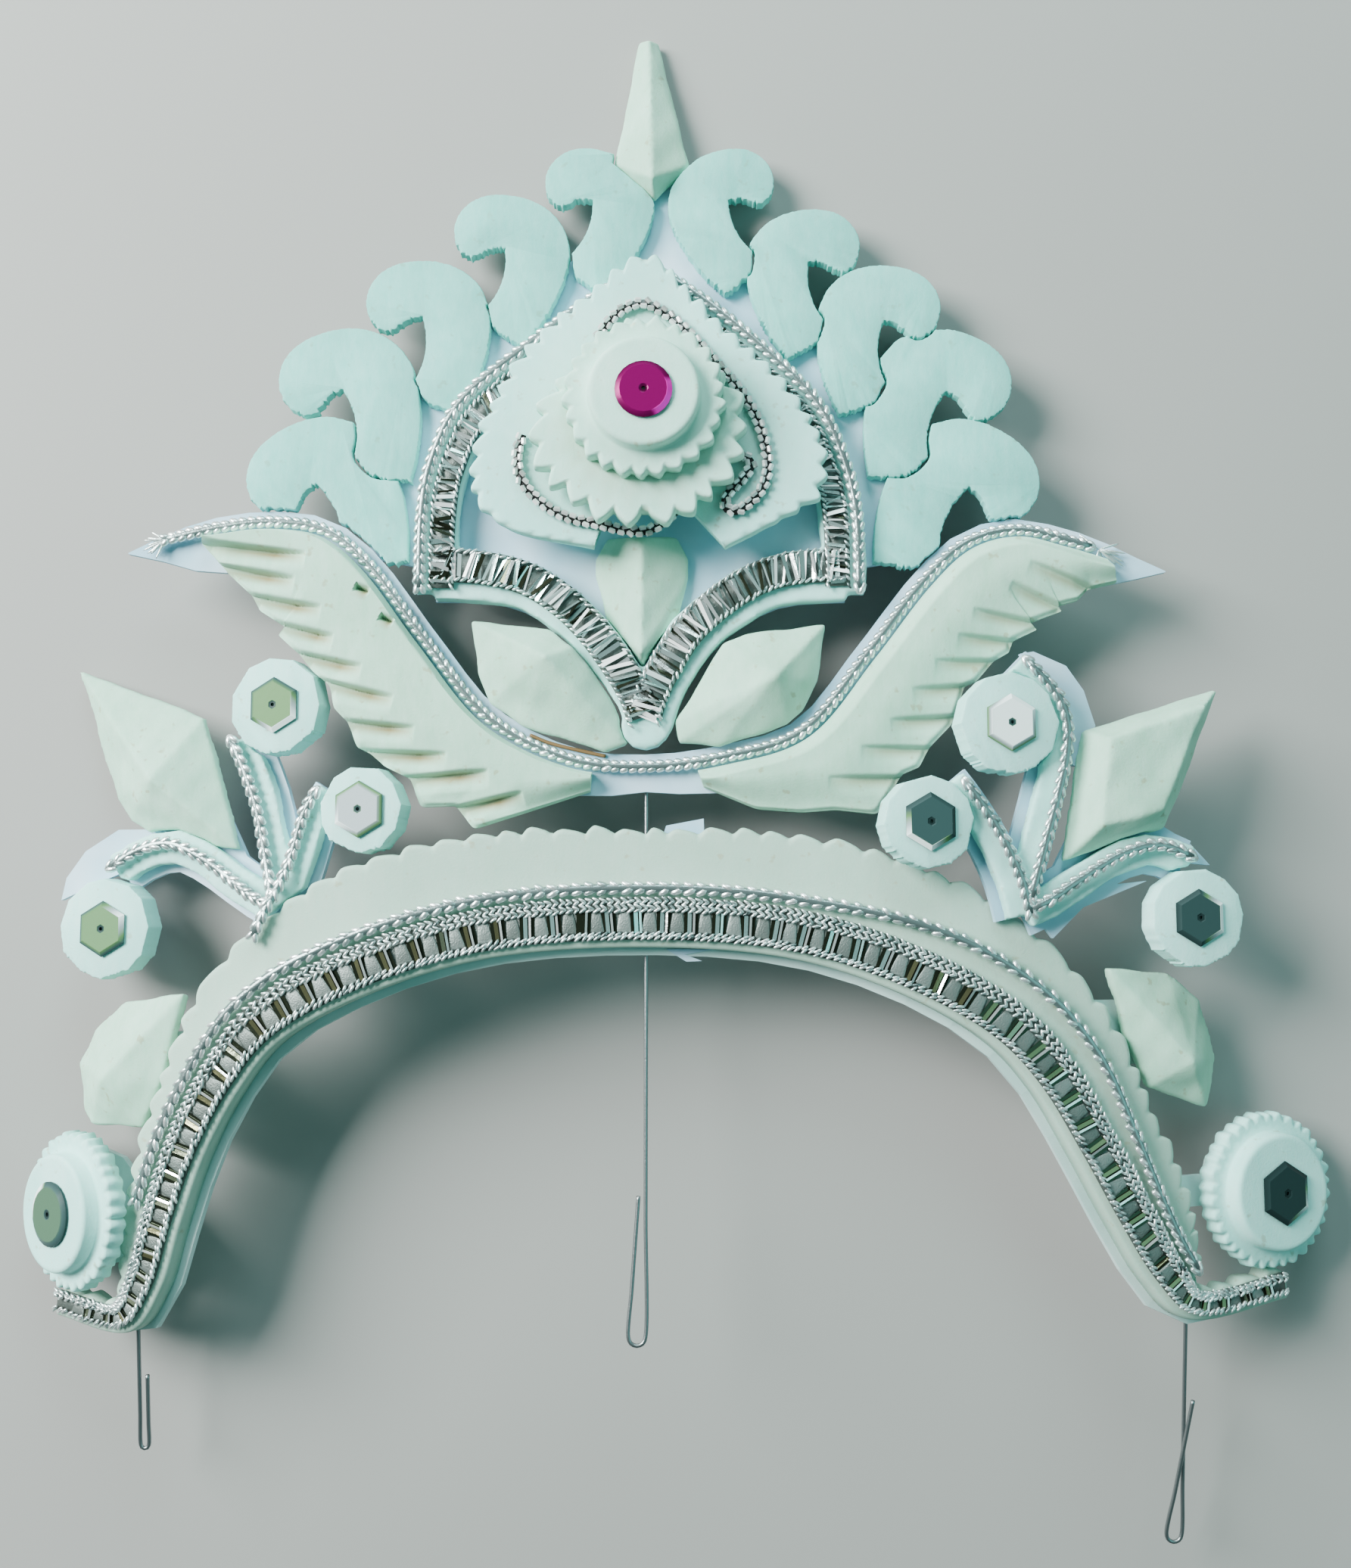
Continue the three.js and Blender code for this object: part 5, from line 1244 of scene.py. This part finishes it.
def add_plate(heap, outline, valley, spec):
    """A plate whose edge is rounded over, with grooves cut in from the valleys."""
    reach = np.linalg.norm(outline - BOSS, axis=1)
    ray = (outline - BOSS) / reach[:, None]
    none, middle = 0 * reach, PLATE_CENTRE * reach
    # Towards the middle the tan of the painted shade under the tier above grows, partly glue stain.
    rows = [
        (middle, none + spec["low"], none),
        *edge_rings(reach, valley, spec["low"], spec["high"], spec),
        (middle, none + spec["high"], none + spec["core"]),
    ]
    add_rings(heap, rows, ray, BOSS, flat_place)


def toothed_outline(rows, spec, bottom):
    """Outline of a plate, up its right side and down its left side, then over the points of its bottom."""
    points, valleys = [], []
    for side in ("right", "left"):
        half = [(SIGN[side] * row[side], row["y"]) for row in rows]
        line = smooth_line(half[::-1] if side == "right" else half, PLATE_SPACING)
        toothy = (line[:, 1] - LEAF_PLAIN["below"]) / (LEAF_PLAIN["above"] - LEAF_PLAIN["below"])
        depth = spec["depth"] * (np.clip(toothy, 0, 1) if bottom else 1)
        edge, valley = scalloped(line, spec, depth, BOSS)
        points.append(edge)
        valleys.append(valley)
    if bottom:
        corners = np.vstack([points[-1][-1], bottom[::-1], points[0][0]])
        shares = np.linspace(0, len(corners) - 1, NOTCH_POINTS)[1:-1]
        points.append(straight_line(corners, shares))
        valleys.append(np.zeros(len(shares)))
    return np.vstack(points), np.concatenate(valleys)


def add_rosette(heap, centre, spec, place):
    """A toothed rim with a smooth disc carved on it."""
    count = round(2 * math.pi * spec["radius"] / PLATE_SPACING)
    ray = rays(2 * math.pi * np.arange(count + 1) / count)
    outline, valley = scalloped(ray * spec["radius"], spec, spec["depth"], np.zeros(2))
    reach, ray, valley = np.linalg.norm(outline, axis=1)[:-1], ray[:-1], valley[:-1]
    low, top = spec["low"], spec["low"] + spec["rim"]
    none = 0 * reach
    rows = [(PLATE_CENTRE * reach, none + low, none), *edge_rings(reach, valley, low, top, spec)]
    for row in DISC_RINGS:
        level = top + row["lift"] + row["height"] * spec["disc"]
        rows.append((none + spec["disc_radius"] - row["inset"], none + level, none))
    rows.append((none + DISC_CENTRE, none + top + spec["disc"], none))
    add_rings(heap, rows, ray, centre, place)


def add_pad(heap, pad):
    ring = BOSS + pad["radius"] * rays(np.linspace(0, 2 * math.pi, PAD_SIDES, endpoint=False))
    heap.loft([flat_place(ring, pad["low"]), flat_place(ring, pad["high"])], 0)


def finish_pith(heap, node, finish, sharp=None):
    dress(heap.build(node + "_carved", [finish], channel="speck_and_shade_tan", sharp=sharp), "pith", node)


def build_boss():
    for node, rows, spec, bottom, pad, finish in (
        ("boss_leaves", LEAVES, LEAF_PLATE, LEAF_NOTCH, BOSS_PADS[0], PITH_BOSS),
        ("boss_petals", PETALS, PETAL_PLATE, [], BOSS_PADS[1], PITH_CREAM),
    ):
        heap = Heap()
        add_plate(heap, *toothed_outline(rows, spec, bottom), spec)
        add_pad(heap, pad)
        finish_pith(heap, node, finish)
    heap = Heap()
    add_rosette(heap, BOSS, BOSS_ROSETTE, flat_place)
    finish_pith(heap, "boss_rosette", PITH_CREAM)


def build_end_rosette(side):
    end = ENDS[side]
    heap = Heap()
    place = band_group(side, end["x"], end["y"], end["lift"], end["extra_turn"])
    add_rosette(heap, np.zeros(2), END_ROSETTE, place)
    finish_pith(heap, "end_rosette_" + side, PITH_BOSS)


def build_band_face():
    rows = smooth_line([(row["x"], row["y"], row["face"]) for row in BROW], BAND_FACE["spacing"])
    brow = Ribbon(rows[:, :2], band_place)
    lobe, uneven = tooth_wave(brow.along, BAND_FACE)
    top = rows[:, 2] - BAND_FACE["depth"] * (1 - lobe * uneven)
    rings = []
    for row in BAND_SECTION:
        level = grooved(row, ON_CARD, BAND_FACE["top"], 1 - lobe, BAND_FACE)
        rings.append(brow.at(brow.along, row["wide"] * top + row["shift"], level))
    heap = Heap()
    heap.loft(np.stack(rings, axis=1))
    finish_pith(heap, "band_face", PITH_BOSS)


# Carved wings.
def gouged(side, places):
    """Depth and painted shade of the knife cuts: a steep wall on the upper side, a long slope on the lower
    side, and a tan line of painted shade on the slope just below the wall.
    """
    depth, painted_shade = np.zeros(places.shape[:-1]), np.zeros(places.shape[:-1])
    for row in GOUGES[side]:
        start = np.array((row["x"], row["y"]))
        run = np.array((row["to_x"], row["to_y"])) - start
        length = np.linalg.norm(run)
        heading = run / length
        lower = np.array((heading[1], -heading[0]))
        lower = lower * -np.sign(lower[1])
        along = (places - start) @ heading / length
        beside = (places - start) @ lower
        fading = np.clip((1 - along) / GOUGE["fade"][side], 0, 1) ** GOUGE["fade_power"]
        strength = np.where((along > -GOUGE["past"]) & (along < 1), fading, 0)
        wall = np.exp(-((beside / GOUGE["wall"]) ** 2))
        slope = np.clip(1 - beside / row.get("slope", GOUGE["slope"]), 0, 1) ** GOUGE["slope_power"]
        depth = np.maximum(depth, strength * np.where(beside < 0, wall, slope))
        shade_along = strength * np.clip(GOUGE["painted_shade_start"] + along, 0, 1)
        close = 1 - np.abs(beside / GOUGE["painted_shade"] - GOUGE["painted_shade_shift"])
        painted_shade = np.maximum(painted_shade, shade_along * np.clip(close, 0, 1))
    return depth * GOUGE["depth"][side], painted_shade


def wing_lower_edge(side):
    """Points over the feather tips and notches from the outer tip to the middle, slightly rounded."""
    corners = []
    for row in WING_EDGE[side]:
        corners.append((SIGN[side] * row["x"], row["y"]))
        if "notch_x" in row:
            corners.append((SIGN[side] * row["notch_x"], row["notch_y"]))
    runs = len(corners) - 1
    shares = np.linspace(0, runs, WING_GRID["along"] * runs + 1)
    return softened(straight_line(np.array(corners), shares), WING["soften"])


def wing_upper_edge(side, count):
    """Points beside the wing's rope from the outer tip to the middle."""
    line = wing_line()
    below = line - left_normals(line) * WING["gap"]
    outwards = SIGN[side] * below[:, 0]
    outer, inner = (WING_EDGE[side][k]["x"] - WING["inset"] for k in (0, -1))
    below = below[(outwards > inner) & (outwards < outer)]
    if side == "right":
        below = below[::-1]
    return straight_line(below, np.linspace(0, len(below) - 1, count))


def build_wing(side):
    """Feathers between the rope and the tips, with knife cuts in their front."""
    lower = wing_lower_edge(side)
    upper = wing_upper_edge(side, len(lower))
    across = np.linspace(0, 1, WING_GRID["across"])
    grid = upper[:, None] * (1 - across[None, :, None]) + lower[:, None] * across[None, :, None]
    from_rope = np.linalg.norm(lower - upper, axis=1)[:, None] * across
    sloped = eased((across - WING["slope_from"]) / WING["slope_run"])
    rise = WING["tip"] + (WING["body"] - WING["tip"]) * (1 - sloped)
    edge = WING["rope_side"] + (1 - WING["rope_side"]) * eased(from_rope / WING["bevel"][side])
    rounding = 1 - WING["round"] * eased((across - WING["round_from"]) / WING["round_run"])
    # Beside each knife cut's wall the pith gets a tan line of painted shade.
    depth, painted_shade = gouged(side, grid)
    top = ON_CARD + np.maximum(rise * edge * rounding - depth, WING["least"])
    backs = [flat_place(line, ON_CARD)[:, None] for line in (upper, lower)]
    rings = np.concatenate([backs[0], flat_place(grid, top), backs[1]], axis=1)
    heap = Heap()
    heap.loft(rings, np.pad(painted_shade, ((0, 0), (1, 1))).ravel())
    finish_pith(heap, "wing_" + side, PITH_WING, sharp=WING["sharp"])


# Slabs cut from a flat sheet of pith: fineness of matching corners, and how level a front face is.
MATCH = 1e7
LEVEL = 1e-5


def top_outline(node):
    """The outline of a node's flat front in the crown's axes, with its back and front levels."""
    solid = NODES[node].data
    points = to_crown(np.array([v.co for v in solid.vertices]))
    low, high = points[:, 2].min(), points[:, 2].max()
    keys = [tuple(key) for key in np.round(points[:, :2] * MATCH).astype(int)]
    edges = set()
    for face in solid.polygons:
        corners = list(face.vertices)
        if points[corners, 2].min() > high - LEVEL:
            edges.update((keys[a], keys[b]) for a, b in zip(corners, corners[1:] + corners[:1]))
    following = {a: b for a, b in edges if (b, a) not in edges}
    loop = [min(following)]
    while following[loop[-1]] != loop[0]:
        loop.append(following[loop[-1]])
    return np.array(loop) / MATCH, low, high


def smooth_outline(loop, corner):
    """A closed outline with its round stretches drawn smooth and its corners kept."""
    before = loop - np.roll(loop, 1, axis=0)
    after = np.roll(before, -1, axis=0)
    cross = before[:, 0] * after[:, 1] - before[:, 1] * after[:, 0]
    turns = np.degrees(np.arctan2(cross, np.sum(before * after, axis=1)))
    corners = np.flatnonzero(np.abs(turns) > corner)
    stretches = [
        smooth_line(loop[np.arange(start, end + 1) % len(loop)], SLAB["spacing"])[:-1]
        for start, end in zip(corners, [*corners[1:], corners[0] + len(loop)])
    ]
    return np.vstack(stretches)


def add_slab(heap, loop, place, low, high, spec):
    """A flat slab with a rounded front edge; its outline wavers, most where it faces down the crown."""
    outline = smooth_outline(loop, spec["corner"])
    heading = unit(np.roll(outline, -1, axis=0) - np.roll(outline, 1, axis=0))
    inward = np.stack([-heading[:, 1], heading[:, 0]], axis=1)
    uneven = SLAB["waver"] + SLAB["waver_below"] * np.clip(inward[:, 1], 0, 1)
    waver = draws.normal(0, spec["ragged"], len(outline)) * uneven
    outline = outline + inward * waver[:, None]
    bevel = spec["bevel"]
    ease = SLAB["ease"] * bevel
    rings = [(0, low), (0, high - bevel), (ease, high - ease), (bevel, high)]
    heap.loft([place(outline + inward * inset, level) for inset, level in rings], 0)


def build_scroll(node):
    loop, low, high = top_outline(node)
    heap = Heap()
    add_slab(heap, loop, flat_place, low, high, SCROLL)
    finish_pith(heap, node, PITH_SCROLL, sharp=SLAB["sharp"])


def build_floret_disc(side, row):
    """A rough disc cut with straight strokes."""
    sides, turn = row["sides"], FLORET_DISC["turn"]
    angles = 2 * math.pi * (np.arange(sides) + draws.uniform(-turn, turn, sides)) / sides
    reach = row["radius"] * draws.uniform(*FLORET_DISC["reach"], sides)
    loop = reach[:, None] * rays(angles) + (SIGN[side] * row["u"], row["v"])
    heap = Heap()
    add_slab(heap, loop, floret_place(side), 0, FLORET_DISC["thick"], FLORET_DISC)
    finish_pith(heap, f"floret_disc_{side}_{row['name']}", PITH_BOSS, sharp=SLAB["sharp"])


# Pith pieces.
def build_pith():
    for side in SIDES:
        for number in range(1, 6):
            build_scroll(f"scroll_{side}_{number}")
        for row in FLORETS[side]["discs"]:
            build_floret_disc(side, row)
        carved(f"floret_stems_{side}", PITH_BOSS)
        carved(f"floret_rhomb_{side}", PITH_WING)
        carved(f"diamond_{side}", PITH_WING)
        carved(f"side_leaf_{side}", PITH_WING, rounds=3)
        build_end_rosette(side)
        build_wing(side)
    carved("spire", PITH_WING)
    carved("crest_stem", PITH_WING)
    carved("crest_frame", PITH_BOSS, **FRAME_CARVE)
    build_boss()
    build_band_face()


def dress_cards():
    for name in ("band_card", "wing_card", "crest_card", "floret_card_left", "floret_card_right"):
        card = NODES[name]
        card.data.materials.clear()
        # The band's card takes the lighter copy, painted light for its shaded inner edge.
        card.data.materials.append(CARD_BAND if name == "band_card" else CARD)
        bevel = card.modifiers.new("edge", "BEVEL")
        bevel.width = CARD_EDGE
        bevel.segments = 2
        bevel.limit_method = "ANGLE"


def build_bits():
    heap = Heap()
    for points in GLUE_LINES:
        line = smooth_line([(x, y, ON_CARD) for x, y in points], GLUE_BEAD["spacing"])
        add_tube(heap, line, STRAIGHT_UP, GLUE_BEAD["wide"], GLUE_BEAD["high"], sides=8)
    heap.build("glue_lines", [GLUE])
    heap = Heap()
    for row in FLAPS:
        outline = np.array(row["points"])
        heap.loft([flat_place(outline, row["level"]), flat_place(outline, row["level"] + FLAP_THICK)])
    heap.build("card_flaps", [CARD], flat=(0,))


# Floor, lights and camera.
FLOOR = {"half": 8, "roughness": 0.8, "tones": [(0.3, (0.36, 0.35, 0.34)), (0.7, (0.38, 0.37, 0.36))]}
WORLD = {"colour": (0.36, 0.60, 0.59, 1), "strength": 0.26}
LIGHTS = table(
    "name at size power colour",
    ("key", (-0.55, 0.32, 0.45), 0.40, 19.5, (0.95, 1.0, 0.97)),
    ("fill", (0.55, 0.00, 0.50), 0.5, 1.0, (0.28, 1.0, 0.94)),
    ("top", (0.05, 0.60, 0.35), 0.3, 3.0, (0.70, 1.0, 1.0)),
)


def build_stage():
    mesh = bpy.data.meshes.new("floor")
    half = FLOOR["half"]
    corners = [(-half, -half, 0), (half, -half, 0), (half, half, 0), (-half, half, 0)]
    mesh.from_pydata(corners, [], [(0, 1, 2, 3)])
    floor = link_object("floor", mesh)
    material, nodes, links, shader = node_material("floor")
    colour = ramp(nodes, links, noise(nodes, links, 6, 2), FLOOR["tones"])
    links.new(colour, shader.inputs["Base Color"])
    shader.inputs["Roughness"].default_value = FLOOR["roughness"]
    mesh.materials.append(material)


def build_lights():
    for row in LIGHTS:
        data = bpy.data.lights.new(row["name"], "AREA")
        data.size = row["size"]
        data.energy = row["power"]
        data.color = row["colour"]
        lamp = link_object(row["name"], data)
        lamp.location = row["at"]
        lamp.rotation_euler = (-Vector(row["at"])).to_track_quat("-Z", "Y").to_euler()
    world = bpy.data.worlds.new("studio")
    world.use_nodes = True
    background = world.node_tree.nodes["Background"].inputs
    background["Color"].default_value = WORLD["colour"]
    background["Strength"].default_value = WORLD["strength"]
    bpy.context.scene.world = world


def build_camera():
    data = bpy.data.cameras.new("camera")
    data.lens = CAMERA["lens"]
    data.sensor_width = CAMERA["sensor"]
    data.sensor_fit = "HORIZONTAL"
    data.clip_start = CAMERA["near"]
    camera = link_object("camera", data)
    camera.location = (CAMERA["x"], CAMERA["y"], CAMERA["z"])
    camera.rotation_euler = (math.radians(CAMERA["tilt"]), 0, 0)
    bpy.context.scene.camera = camera


build_stage()
build_lights()
build_camera()
dress_cards()
build_bits()
build_pith()
build_band_rope()
build_band_ladder()
build_wing_rope()
build_crest_trim()
build_bead_cord()
for floret_side in SIDES:
    build_floret_ropes(floret_side)
build_sequins()
for pin_row in PINS:
    build_pin(pin_row)
